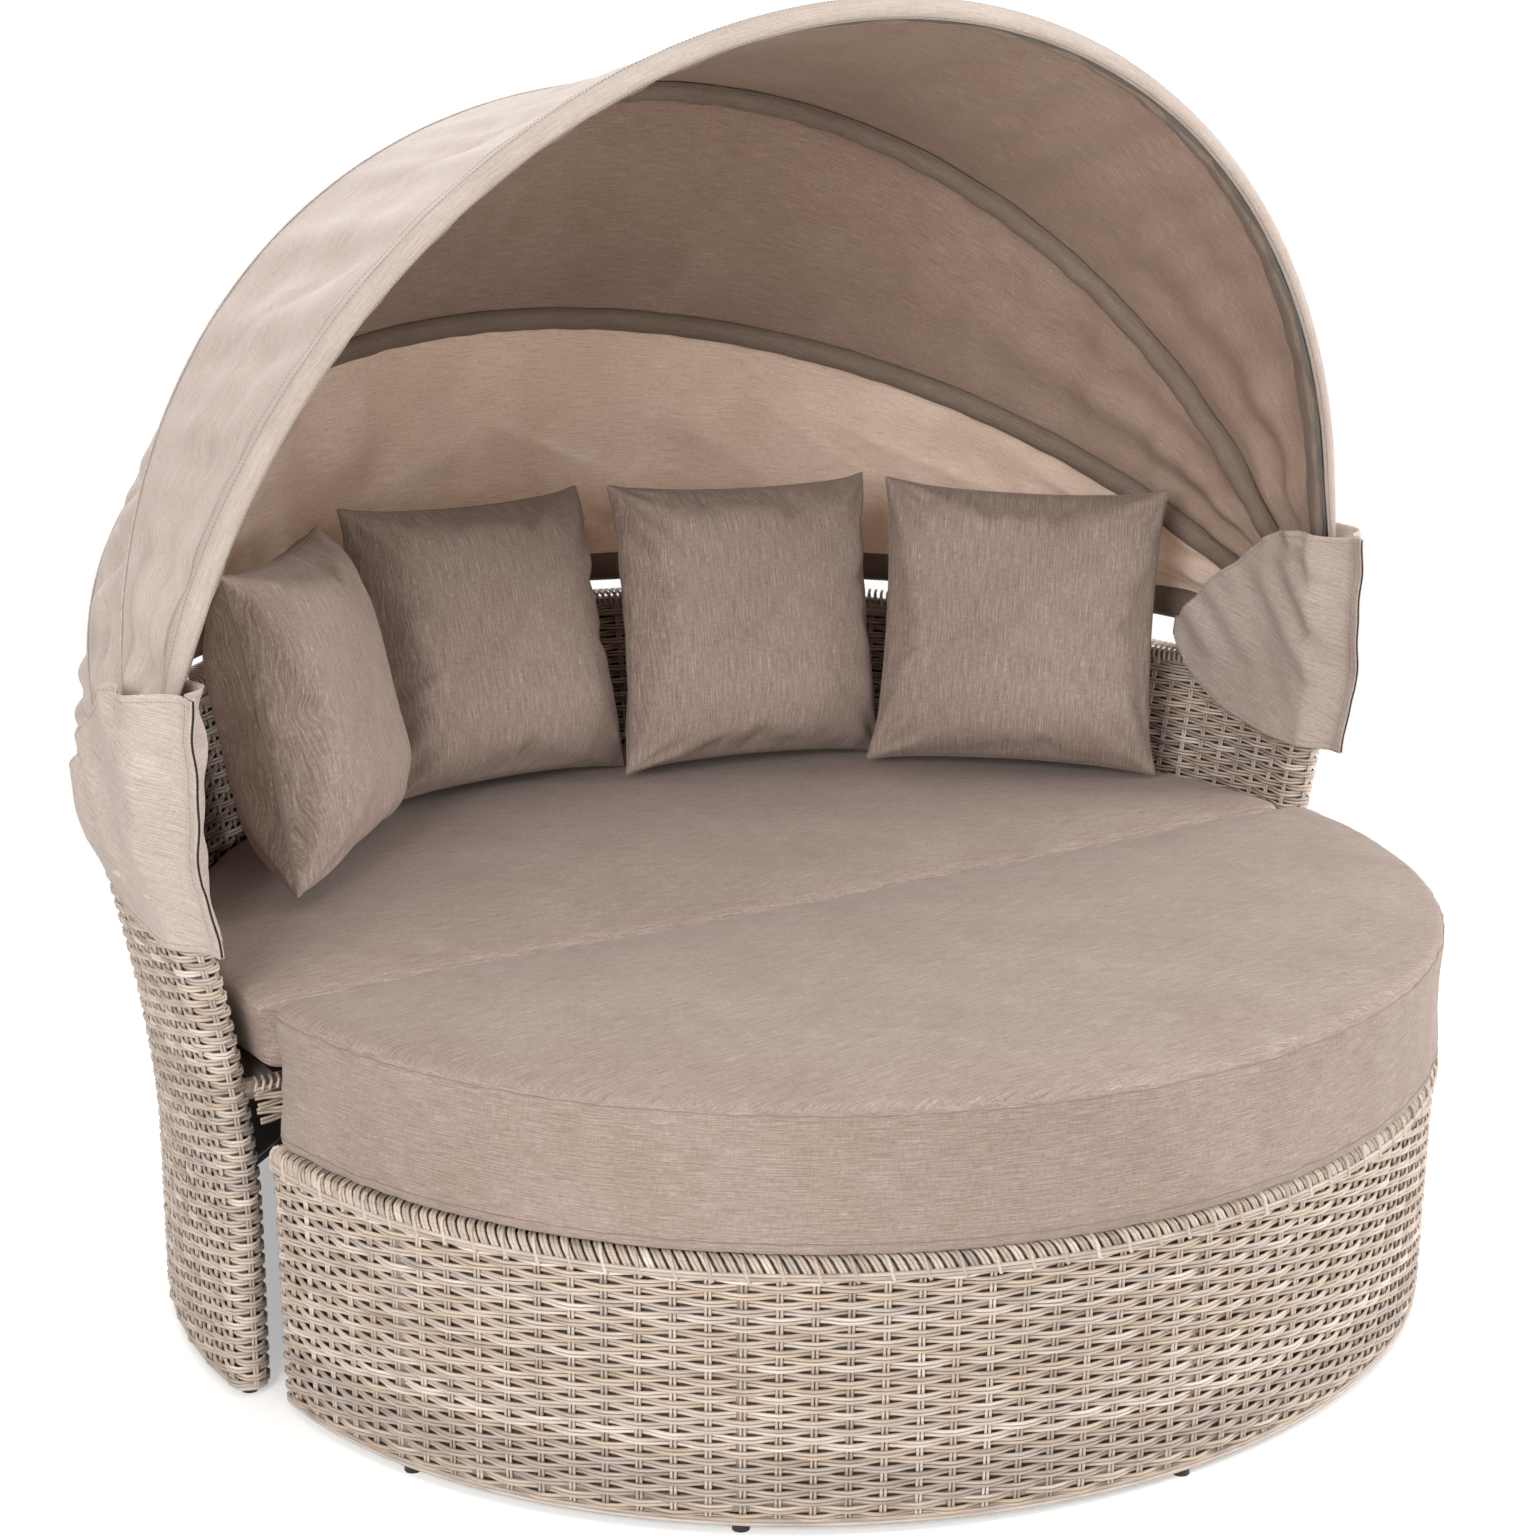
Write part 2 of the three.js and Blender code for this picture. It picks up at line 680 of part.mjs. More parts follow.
function buildOttomanSlats() {
  const bottom = slatBarHeight + frameTubeRadius + restGap;
  const margin = ottomanRimWidth + cushionGap;
  const [halfWidth, depth] = [skirtHalfWidth - margin, skirtDepth - margin];
  const extentAt = (x) => [ottomanBack - depth * Math.sqrt(1 - (x / halfWidth) ** 2), ottomanBack - margin];
  const deck = slatDeck(ottomanSlatCount, ottomanSlatPitch, bottom, extentAt, [ottomanBatten]);
  add('ottoman_slats', deck, slatWood);
}

function buildOttomanGlides() {
  const top = baseRingHeight - frameTubeRadius - restGap;
  const places = postStations.map((station) => ottomanPostPlace(station, baseRingHeight));
  places.push(backPostPlace(0, baseRingHeight));
  places.forEach((place, i) => {
    add(`ottoman_glide_${i + 1}`, rodAlongZ(place.x, place.y, 0, top, footRadius), blackPlastic);
  });
}

// A boxed cushion: drawn-in side walls between two seams, and a crowned top
function cushion(name, shapeAt, bottom, top) {
  const height = top - bottom;
  const levels = [
    [cushionEdge, bottom],
    [0, bottom + cushionEdge / 2],
    [cushionDrawIn, bottom + height * 0.3],
    [cushionDrawIn, bottom + height * 0.7],
    [0, top - cushionEdge / 2],
    [cushionEdge, top + cushionCrown * 0.1],
  ];
  const outlines = levels.map(([inset, z]) => dee(shapeAt(z), inset).map((p) => new THREE.Vector3(p.x, p.y, z)));
  const { chord, side, straight, depth } = shapeAt(top);
  const middle = new THREE.Vector3(0, chord + side * (straight + depth * 0.46), 0);
  const edge = outlines[outlines.length - 1];
  const crown = [[0.84, 0.5], [0.62, 0.82], [0.34, 0.97]].map(([scale, rise]) => {
    const z = top + cushionCrown * rise;
    return edge.map((p) => new THREE.Vector3().lerpVectors(middle, p, scale).setZ(z));
  });
  const low = middle.clone().setZ(bottom);
  const high = middle.clone().setZ(top + cushionCrown);
  add(name, poleLoft([...outlines, ...crown], low, high), cloth);
}

function seatShape(z) {
  const radius = wallRadius(z) - wallThickness - cushionGap;
  return {
    halfWidth: radius,
    depth: radius,
    chord: seatFront,
    straight: wallCentreY - seatFront,
    corner: ottomanCorner,
    side: 1,
  };
}

function ottomanCushionShape() {
  return {
    halfWidth: ottomanCushionHalfWidth,
    depth: ottomanCushionDepth,
    chord: ottomanBack,
    straight: 0,
    corner: ottomanCorner,
    side: -1,
  };
}

function buildCushions() {
  cushion('seat_cushion', seatShape, seatBottom, seatTop);
  cushion('ottoman_cushion', ottomanCushionShape, ottomanRimTop + restGap, ottomanCushionTop);
}

// A scatter cushion: two puffed faces, edges drawn in between pointed corners
function pillowGeometry() {
  const cells = 9;
  const half = pillowSize / 2;
  const face = (sign) => {
    const rows = [];
    for (let i = 0; i <= cells; i++) {
      for (let j = 0; j <= cells; j++) {
        const u = (2 * i) / cells - 1;
        const v = (2 * j) / cells - 1;
        const x = half * u * (1 - pillowDrawnShare * (1 - v * v) * u * u);
        const z = half * v * (1 - pillowDrawnShare * (1 - u * u) * v * v);
        const puff = ((1 - u ** 4) * (1 - v ** 4)) ** 0.62 * (1 - 0.16 * (u * u + v * v));
        rows.push(new THREE.Vector3(x, (sign * (pillowSeamHeight + pillowThickness * puff)) / 2, z));
      }
    }
    return rows;
  };
  const points = [...face(1), ...face(-1)];
  const faces = [];
  const row = cells + 1;
  const back = row * row;
  for (let i = 0; i < cells; i++) {
    for (let j = 0; j < cells; j++) {
      const a = i * row + j;
      faces.push(a, a + 1, a + row + 1, a, a + row + 1, a + row);
      faces.push(back + a, back + a + row + 1, back + a + 1, back + a, back + a + row, back + a + row + 1);
    }
  }
  const wallFace = (a, b) => faces.push(a, back + b, b, a, back + a, back + b);
  for (let i = 0; i < cells; i++) {
    wallFace(i, i + 1);
    wallFace(cells * row + i + 1, cells * row + i);
    wallFace((i + 1) * row, i * row);
    wallFace(i * row + cells, (i + 1) * row + cells);
  }
  return indexed(points, faces);
}

function buildPillows() {
  for (const { name, around, radiusShare, riseShare, roll, lean, yaw } of pillows) {
    const pillow = add(name, pillowGeometry(), cloth);
    const radius = wallFloorRadius * radiusShare;
    const angle = THREE.MathUtils.degToRad(around);
    const [rollTurn, leanTurn, yawTurn] = [roll, lean, yaw].map(THREE.MathUtils.degToRad);
    pillow.rotation.set(leanTurn, rollTurn, yawTurn, 'ZXY');
    const rise = pillowSize * riseShare;
    pillow.position.set(radius * Math.cos(angle), wallCentreY + radius * Math.sin(angle), seatTop + rise);
  }
}

// Bows
const stackInnerX = armTopCentreX - stackInset;
const stackPitch = bowEndThickness + washerThickness + 2 * stackGap;

function bowHalfWidth(index) {
  return stackInnerX + washerThickness + 2 * stackGap + bowEndThickness / 2 + index * stackPitch;
}

// Bows, panels and pockets share one list of turns along their curves, so that they stay apart
function turnAt(distance) {
  return Math.asin(distance / canopyReach);
}

const bowHub = turnAt(bowHubReach);
const bowRound = turnAt(bowFlatLength + bowTaperLength);
const archTurns = Array.from({ length: bowSteps + 1 }, (_, i) => {
  return bowRound + ((Math.PI - 2 * bowRound) * i) / bowSteps;
});

function bothEnds(distances) {
  const first = distances.map(turnAt);
  const last = [...first].reverse().map((turn) => Math.PI - turn);
  return [...first, ...archTurns, ...last];
}

function bowReach(index) {
  return canopyReach * bows[index].reachShare;
}

// A point beside a bow: along its curve by turn, outward in its plane, and square to the plane
function bowPoint(index, turn, outward, across) {
  const { angle } = bows[index];
  const reach = bowReach(index);
  const tilt = THREE.MathUtils.degToRad(angle);
  const halfWidth = bowHalfWidth(index);
  const atHub = Math.sin(turn) <= Math.sin(bowHub) * (1 + stackGap);
  const x = halfWidth * (atHub ? Math.sign(Math.cos(turn)) : Math.cos(turn));
  const normal = new THREE.Vector2(Math.cos(turn) / halfWidth, Math.sin(turn) / reach).normalize();
  const along = reach * Math.sin(turn) + outward * normal.y;
  return new THREE.Vector3(
    x + outward * normal.x,
    pivotY + along * Math.cos(tilt) - across * Math.sin(tilt),
    pivotHeight + along * Math.sin(tilt) + across * Math.cos(tilt),
  );
}

function bowSection(index, turn, down, heightShare) {
  const { angle } = bows[index];
  const distance = canopyReach * Math.sin(turn);
  const roundness = smooth((distance - bowFlatLength) / bowTaperLength);
  const halfThick = THREE.MathUtils.lerp(bowEndThickness / 2, bowTubeRadius, roundness);
  const halfHigh = THREE.MathUtils.lerp(bowFlatHalfHeight, bowTubeRadius, roundness) * heightShare;
  const tilt = THREE.MathUtils.degToRad(angle);
  return Array.from({ length: bowSides }, (_, i) => {
    const around = (2 * Math.PI * (i + 0.5)) / bowSides;
    const squareness = THREE.MathUtils.lerp(0.35, 1, roundness);
    const outward = halfThick * Math.sign(Math.cos(around)) * Math.abs(Math.cos(around)) ** squareness;
    const across = halfHigh * Math.sin(around);
    const point = bowPoint(index, turn, outward, across);
    point.y -= down * Math.cos(tilt);
    point.z -= down * Math.sin(tilt);
    return point;
  });
}

function bowGeometry(index) {
  const ends = [[bowEndReach, 0.4], [bowEndReach * 0.75, 0.8]];
  const rings = [
    ...ends.map(([down, share]) => bowSection(index, 0, down, share)),
    ...bothEnds([0, bowHubReach, panelStart, bowFlatLength]).map((turn) => bowSection(index, turn, 0, 1)),
    ...[...ends].reverse().map(([down, share]) => bowSection(index, Math.PI, down, share)),
  ];
  const body = toSolid(loft(rings));
  const reach = bowHalfWidth(index) + overrun;
  const hole = toSolid(rodAlongX(-reach, reach, pivotY, pivotHeight, boltRadius + boltClearance));
  return fromSolid(body.subtract(hole));
}

function buildBows() {
  bows.forEach(({ name }, index) => add(name, bowGeometry(index), bowMetal));
}

// Canopy panels: cloth from one bow to the next, with a slight sag and soft folds near the arms
const clothLift = bowTubeRadius + bowClothGap;

function panelPoint(front, share, turn, lift) {
  const ahead = bowPoint(front, turn, lift, 0);
  const behind = bowPoint(front + 1, turn, lift, 0);
  const point = new THREE.Vector3().lerpVectors(ahead, behind, share);
  const hang = Math.sin(Math.PI * share);
  const sideways = Math.abs(Math.cos(turn)) ** 3;
  const folds = foldDepth * sideways * Math.sin(3 * Math.PI * share) * Math.sin(2 * turn);
  const middle = new THREE.Vector3(0, pivotY, pivotHeight);
  const inward = middle.sub(point).normalize();
  return point.addScaledVector(inward, (panelSag * Math.sin(turn) + folds) * hang);
}

function panelSheet(front) {
  const shares = Array.from({ length: panelColumns + 1 }, (_, i) => i / panelColumns);
  const rings = bothEnds([panelStart, bowFlatLength]).map((turn) => {
    const width = panelPoint(front, 0, turn, clothLift).distanceTo(panelPoint(front, 1, turn, clothLift));
    const edge = restGap / width;
    const inside = shares.map((share) => THREE.MathUtils.lerp(edge, 1 - edge, share));
    const outer = inside.map((share) => panelPoint(front, share, turn, clothLift + clothThickness));
    const inner = [...inside].reverse().map((share) => panelPoint(front, share, turn, clothLift));
    return [...outer, ...inner];
  });
  return loft(rings);
}

// A pocket is a sleeve round a bow. One side is sewn to the panel, which lies on that side.
function pocket(index, side) {
  const section = (turn) => {
    const seam = THREE.MathUtils.lerp(45, 56, Math.sin(turn));
    const around = [seam, 120, 185, 250].map(THREE.MathUtils.degToRad);
    const at = (radius, angle) => [radius * Math.cos(angle), side * radius * Math.sin(angle)];
    const outer = around.map((angle) => at(pocketRadius + clothThickness, angle));
    const inner = [...around].reverse().map((angle) => at(pocketRadius, angle));
    return [...outer, ...inner];
  };
  const rings = archTurns.map((turn) => {
    return section(turn).map(([outward, across]) => bowPoint(index, turn, outward, across));
  });
  return loft(rings);
}

function buildPanels() {
  const panels = [
    { name: 'canopy_front', pockets: [pocket(0, -1)] },
    { name: 'canopy_middle', pockets: [pocket(1, -1)] },
    { name: 'canopy_rear', pockets: [pocket(2, -1), pocket(3, 1)] },
  ];
  panels.forEach(({ name, pockets }, index) => {
    add(name, fromSolid(joined([panelSheet(index), ...pockets])), cloth);
  });
}

// Pivot hardware
const cheekInnerX = bowHalfWidth(bows.length - 1) + bowEndThickness / 2 + washerThickness + 2 * stackGap;
const boltInnerX = stackInnerX - nutThickness - restGap;

function bracketGeometry() {
  const bottom = armHeight + restGap;
  const cheek = new THREE.Shape();
  cheek.moveTo(-flangeLength / 2, bottom);
  cheek.lineTo(flangeLength / 2, bottom);
  cheek.lineTo(cheekWidth / 2, pivotHeight);
  cheek.absarc(0, pivotHeight, cheekWidth / 2, 0, Math.PI, false);
  cheek.lineTo(-flangeLength / 2, bottom);
  const plate = new THREE.ExtrudeGeometry(cheek, { depth: cheekThickness, bevelEnabled: false, curveSegments: 8 });
  const turn = new THREE.Matrix4().makeBasis(
    new THREE.Vector3(0, 1, 0),
    new THREE.Vector3(0, 0, 1),
    new THREE.Vector3(1, 0, 0),
  );
  plate.applyMatrix4(turn).translate(cheekInnerX, pivotY, 0);
  const flangeX = armTopCentreX - flangeInner / 2;
  const [y0, y1] = [pivotY - flangeLength / 2, pivotY + flangeLength / 2];
  const outerX = cheekInnerX + cheekThickness;
  const flange = placedBox(flangeX, outerX, y0, y1, bottom, bottom + flangeThickness);
  const hole = rodAlongX(cheekInnerX - overrun, outerX + overrun, pivotY, pivotHeight, boltRadius + boltClearance);
  const screws = screwPlaces.map((y) => rodAlongZ(screwX, y, armHeight, armHeight + overrun, screwRadius + boltClearance));
  const solid = joined([plate, flange]);
  return fromSolid(solid.subtract(joined([hole, ...screws])));
}

function boltGeometry() {
  const headStart = cheekInnerX + cheekThickness + restGap;
  const shank = rodAlongX(boltInnerX - 2 * restGap, headStart + restGap, pivotY, pivotHeight, boltRadius);
  const head = rodAlongX(headStart, headStart + boltHeadThickness, pivotY, pivotHeight, boltHeadRadius, 6);
  return fromSolid(joined([shank, head]));
}

function nutGeometry() {
  const body = rodAlongX(boltInnerX, boltInnerX + nutThickness, pivotY, pivotHeight, nutRadius, 6);
  const hole = rodAlongX(boltInnerX - overrun, stackInnerX + overrun, pivotY, pivotHeight, boltRadius + stackGap);
  return fromSolid(toSolid(body).subtract(toSolid(hole)));
}

// Washers lie between the bows, and between the rear bow and the bracket
function washerGeometry(index) {
  const x = bowHalfWidth(index) + bowEndThickness / 2 + stackGap;
  const disc = toSolid(rodAlongX(x, x + washerThickness, pivotY, pivotHeight, washerRadius));
  const hole = rodAlongX(x - overrun, x + overrun, pivotY, pivotHeight, boltRadius + boltClearance);
  return fromSolid(disc.subtract(toSolid(hole)));
}

function screwGeometry(y) {
  const seat = armHeight + restGap + flangeThickness + restGap;
  const bottom = armHeight - rimTubeDrop + frameTubeRadius / 2;
  const shank = rodAlongZ(screwX, y, bottom, seat + restGap, screwRadius);
  const head = rodAlongZ(screwX, y, seat, seat + screwHeadHeight, screwHeadRadius);
  return fromSolid(joined([shank, head]));
}

function addPair(name, geometry, material) {
  add(`${name}_right`, geometry, material);
  add(`${name}_left`, mirrored(geometry), material);
}

function buildPivots() {
  addPair('pivot_bracket', bracketGeometry(), zincSteel);
  addPair('pivot_bolt', boltGeometry(), zincSteel);
  addPair('pivot_nut', nutGeometry(), zincSteel);
  bows.forEach((_, i) => addPair(`washer_${i + 1}`, washerGeometry(i), zincSteel));
  screwPlaces.forEach((y, i) => addPair(`bracket_screw_${i + 1}`, screwGeometry(y), zincSteel));
}

// Ears: the outline of a leaf is given by its lower and upper edge at each distance from the front
function earLow(y) {
  const share = THREE.MathUtils.clamp((y - earTipReach) / (earReach - earTipReach), 0, 1);
  const edge = THREE.MathUtils.lerp(earWidest, earBottom, Math.sqrt(1 - share ** 2));
  return Math.min(edge, earWidest - earEndHalfHeight);
}

function earHigh(y) {
  const share = THREE.MathUtils.clamp((earReach - y) / (earReach - earTopReach), 0, 1);
  const edge = THREE.MathUtils.lerp(earWidest, earTop, share ** 0.77);
  return Math.max(edge, earWidest + earEndHalfHeight);
}

function armMiddle(z) {
  return wallRadius(Math.min(z, armHeight)) - wallHalf;
}

const leafRows = [0, 0.17, 0.34, 0.52, 0.75, 1];

// A leaf lies against the wall low down, opens round the bows, and closes on the strip at its front
function leafPoint({ sign, rest, flare }, y, share, outward) {
  const z = THREE.MathUtils.lerp(earLow(y), earHigh(y), share);
  const open = smooth((y - earFront - stripWidth) / earFrontBlend);
  const rise = smooth((z - earHugTop) / (earWidest - earHugTop));
  const ripple = (earRipple * (1 - Math.cos((4 * Math.PI * (y - earFront)) / (earReach - earFront)))) / 2;
  const closed = stripThickness / 2 + restGap + clothThickness / 2;
  const lying = wallHalf + rest + clothThickness / 2;
  const away = THREE.MathUtils.lerp(closed, lying + (flare + ripple) * rise, open) + outward;
  const radius = armMiddle(z) + sign * away;
  return new THREE.Vector3(Math.sqrt(radius ** 2 - (y - wallCentreY) ** 2), y, z);
}

function leafGeometry(leaf) {
  const half = clothThickness / 2;
  const columns = earColumnShares.map((share) => THREE.MathUtils.lerp(earFront, earReach, share));
  const rings = [earFront, earFront + stripWidth, ...columns, earReach].map((y) => {
    const outer = leafRows.map((share) => leafPoint(leaf, y, share, half));
    const inner = [...leafRows].reverse().map((share) => leafPoint(leaf, y, share, -half));
    return [...outer, ...inner];
  });
  return loft(rings);
}

function stripGeometry() {
  const half = stripThickness / 2;
  const back = earFront + stripWidth;
  const at = (y, z, aside) => {
    const radius = armMiddle(z) + aside;
    return new THREE.Vector3(Math.sqrt(radius ** 2 - (y - wallCentreY) ** 2), y, z);
  };
  const rings = leafRows.map((share) => {
    const z = THREE.MathUtils.lerp(earBottom, earTop, share);
    return [at(earFront, z, half), at(back, z, half), at(back, z, -half), at(earFront, z, -half)];
  });
  return loft(rings);
}

function buildEars() {
  earLeaves.forEach((leaf) => addPair(leaf.name, leafGeometry(leaf), cloth));
  addPair('touch_strip', stripGeometry(), blackPlastic);
}

buildSofaFrame();
buildSofaWicker();
buildApron();
buildSeatSlats();
buildFeet();
buildOttomanFrame();
buildOttomanWicker();
buildOttomanRim();
buildOttomanSlats();
buildOttomanGlides();
buildCushions();
buildPillows();
buildBows();
buildPanels();
buildPivots();
buildEars();

// The origin lies on the floor under the middle of the whole footprint
const rearBow = bows[bows.length - 1];
const rearClothReach = bowReach(bows.length - 1) + clothLift + clothThickness;
const backReach = pivotY + rearClothReach * Math.cos(THREE.MathUtils.degToRad(rearBow.angle));
const frontReach = ottomanBack - ottomanCushionDepth;
daybed.position.y = -(backReach + frontReach) / 2;

export default daybed;
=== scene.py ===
# Round outdoor daybed with a folding canopy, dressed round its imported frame, in metres.
# Woven strands, padded cushions and canopy cloth stand for the plain solids;
# tubes, slats, feet and pivot hardware keep theirs and get their finish here.
import json
import math

import bpy
import numpy as np
from mathutils import Euler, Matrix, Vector
from mathutils.bvhtree import BVHTree


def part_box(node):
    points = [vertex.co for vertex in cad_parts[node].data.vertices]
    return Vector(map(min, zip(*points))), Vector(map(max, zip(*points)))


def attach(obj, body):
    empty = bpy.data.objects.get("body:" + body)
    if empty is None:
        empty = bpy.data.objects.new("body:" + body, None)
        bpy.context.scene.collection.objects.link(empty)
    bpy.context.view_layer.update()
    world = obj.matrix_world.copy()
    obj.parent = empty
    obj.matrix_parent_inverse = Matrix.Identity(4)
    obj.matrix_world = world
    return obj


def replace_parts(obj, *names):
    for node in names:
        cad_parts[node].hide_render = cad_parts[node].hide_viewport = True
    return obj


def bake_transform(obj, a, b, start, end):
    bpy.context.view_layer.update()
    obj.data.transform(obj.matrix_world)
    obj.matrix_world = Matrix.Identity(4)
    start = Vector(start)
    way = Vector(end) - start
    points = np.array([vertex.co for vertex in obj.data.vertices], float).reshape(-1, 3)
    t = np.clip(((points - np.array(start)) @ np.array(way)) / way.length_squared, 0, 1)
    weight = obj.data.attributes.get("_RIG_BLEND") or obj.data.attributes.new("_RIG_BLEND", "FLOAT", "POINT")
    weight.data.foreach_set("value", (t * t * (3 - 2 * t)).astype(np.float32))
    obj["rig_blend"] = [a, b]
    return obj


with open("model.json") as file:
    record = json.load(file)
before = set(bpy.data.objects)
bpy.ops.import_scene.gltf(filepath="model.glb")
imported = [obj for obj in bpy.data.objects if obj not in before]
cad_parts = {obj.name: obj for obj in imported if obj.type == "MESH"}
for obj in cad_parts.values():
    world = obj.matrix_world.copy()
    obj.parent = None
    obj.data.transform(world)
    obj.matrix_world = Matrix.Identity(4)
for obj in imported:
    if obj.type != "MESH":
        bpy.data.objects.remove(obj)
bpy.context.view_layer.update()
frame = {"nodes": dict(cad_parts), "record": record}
scene = bpy.context.scene

# The pivot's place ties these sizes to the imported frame. The split is where sofa and ottoman meet
bolt_low, bolt_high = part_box("pivot_bolt_left")
PIVOT_Y = (bolt_low.y + bolt_high.y) / 2
PIVOT_Z = (bolt_low.z + bolt_high.z) / 2
PIVOT_FROM_SPLIT = 0.075
SPLIT_Y = PIVOT_Y - PIVOT_FROM_SPLIT

# Sofa wall: round, open to the front, flared above a level, and higher at the back than at the arms
WALL_FROM_SPLIT = 0.070
WALL_Y = SPLIT_Y + WALL_FROM_SPLIT
WALL_FLOOR_RADIUS = 0.812
WALL_FLARE = 0.081
FLARE_START = 0.230
FLARE_POWER = 1.6
WALL_HALF = 0.0275
WALL_BOTTOM = 0.012
WALL_TOP_DROP = 0.016
ARM_HEIGHT = 0.650
BACK_HEIGHT = 0.698
ARM_LEVEL = math.radians(14)
BACK_LEVEL = math.radians(62)
ARM_NOSE_BACK = 0.020
ARM_END = math.asin((ARM_NOSE_BACK + WALL_HALF - WALL_FROM_SPLIT) / WALL_FLOOR_RADIUS)

# Seat and ottoman
SEAT_BOTTOM = 0.400
SEAT_TOP = 0.486
SEAT_FRONT = SPLIT_Y - 0.001
OTTOMAN_BACK = SPLIT_Y - 0.004
SKIRT_HALF_WIDTH = 0.776
SKIRT_DEPTH = 0.728
SKIRT_TAPER_SIDE = 0.004
SKIRT_TAPER_FRONT = 0.011
SKIRT_BOTTOM = 0.012
RIM_TOP = 0.324
RIM_HEIGHT = 0.024
CORNER = 0.026
OTTOMAN_CUSHION_HALF_WIDTH = 0.780
OTTOMAN_CUSHION_DEPTH = 0.750
OTTOMAN_CUSHION_BOTTOM = RIM_TOP + 0.0003
OTTOMAN_CUSHION_TOP = 0.494
CUSHION_GAP = 0.006

# Weave, measured in the photograph: pairs of strands over and under pairs of stakes
STRAND_RADIUS = 0.0021
STAKE_RADIUS = 0.0020
BORDER_RADIUS = 0.0026
TWIN = 0.00215
STAKE_TWIN = 0.0022
STAKE_LEAN = 0.03
WEAVE_DEPTH = 0.0041
WEAVE_INSET = 0.0070
WEAVE_WANDER = 0.10
ROW_PITCH = 0.0092
ROW_WOBBLE = 0.00035
TWIN_TONE = 0.05
STAKE_PITCH = 0.037
STEPS_PER_STAKE = 3

# The rear bow lies just above the rim of the back
REAR_BOW_RISE = 0.0215
REAR_BOW_BACK = (
    WALL_FROM_SPLIT
    + (WALL_FLOOR_RADIUS + WALL_FLARE - 2 * WALL_HALF) * math.sin(BACK_LEVEL)
    - PIVOT_FROM_SPLIT
)
REAR_BOW_TILT = math.degrees(math.atan2(BACK_HEIGHT + REAR_BOW_RISE - PIVOT_Z, REAR_BOW_BACK))

# Bows from the front one to the rear one: name, body, tilt in degrees, share of the reach
BOWS = [
    ("front_bow", "front_bow", 102.3, 1.0299),
    ("third_bow", "third_bow", 62.4, 0.9908),
    ("second_bow", "second_bow", 29.9, 0.9954),
    ("rear_bow", "sofa", REAR_BOW_TILT, 1.0046),
]
CANOPY_REACH = 0.870
# Their flattened ends are stacked outwards on the pivot, with washers between them
BOW_END = 0.004
WASHER = 0.0014
STACK_GAP = 0.00005
STACK_INSET = 0.0046
STACK_PITCH = BOW_END + WASHER + 2 * STACK_GAP
CLOTH_LIFT = 0.011
CLOTH = 0.0018

random = np.random.default_rng(7)


def smooth(value):
    x = np.clip(value, 0, 1)
    return x * x * (3 - 2 * x)


def mix(a, b, share):
    return a + (b - a) * share


def arc_length(line):
    return np.concatenate([[0], np.cumsum(np.linalg.norm(np.diff(line, axis=0), axis=1))])


# Nodes
def linear(code):
    """A picture's colour code as the linear light that nodes take."""
    channels = [int(code[i : i + 2], 16) / 255 for i in (1, 3, 5)]
    return [c / 12.92 if c <= 0.04045 else ((c + 0.055) / 1.055) ** 2.4 for c in channels] + [1]


def put(tree, kind, settings=None, links=None):
    """Adds a node. A setting is an attribute, an input by name or number, or a ramp's stops."""
    made = tree.nodes.new(kind)
    for key, value in (settings or {}).items():
        if key == "stops":
            elements = made.color_ramp.elements
            while len(elements) < len(value):
                elements.new(0.5)
            for element, (place, code) in zip(elements, value):
                element.position = place
                element.color = linear(code)
        elif isinstance(key, int) or key in made.inputs:
            made.inputs[key].default_value = value
        else:
            setattr(made, key, value)
    for key, socket in (links or {}).items():
        tree.links.new(socket, made.inputs[key])
    return made


def result(tree, kind, settings=None, links=None):
    """Adds a node and gives its first output."""
    return put(tree, kind, settings, links).outputs[0]


def noise(tree, place, grains, detail, roughness=0.5):
    """Noise with so many grains to the metre, in all directions or along each axis."""
    if isinstance(grains, tuple):
        place = result(tree, "ShaderNodeMapping", {"Scale": grains}, {"Vector": place})
        grains = 1
    settings = {"Scale": grains, "Detail": detail, "Roughness": roughness}
    return result(tree, "ShaderNodeTexNoise", settings, {"Vector": place})


def tones(tree, value, *stops):
    return result(tree, "ShaderNodeValToRGB", {"stops": stops}, {"Fac": value})


def stained(tree, share, colour, tone):
    settings = {"data_type": "RGBA", "blend_type": "MULTIPLY", 0: share}
    return put(tree, "ShaderNodeMix", settings, {6: colour, 7: tone}).outputs[2]


def crossed(tree, share, a, b):
    return result(tree, "ShaderNodeMix", {"data_type": "FLOAT", 0: share}, {2: a, 3: b})


def relief(tree, height, strength, distance):
    return result(tree, "ShaderNodeBump", {"Strength": strength, "Distance": distance}, {"Height": height})


def ranged(tree, value, low, high):
    return result(tree, "ShaderNodeMapRange", {"To Min": low, "To Max": high}, {"Value": value})


def new_material(name):
    material = bpy.data.materials.new(name)
    material.use_nodes = True
    material.node_tree.nodes.clear()
    return material, material.node_tree


def close_material(tree, surface):
    put(tree, "ShaderNodeOutputMaterial", links={"Surface": surface})


def close_surface(tree, settings, colour, normal, rough=None):
    links = {"Base Color": colour, "Normal": normal}
    if rough:
        links["Roughness"] = rough
    close_material(tree, result(tree, "ShaderNodeBsdfPrincipled", settings, links))


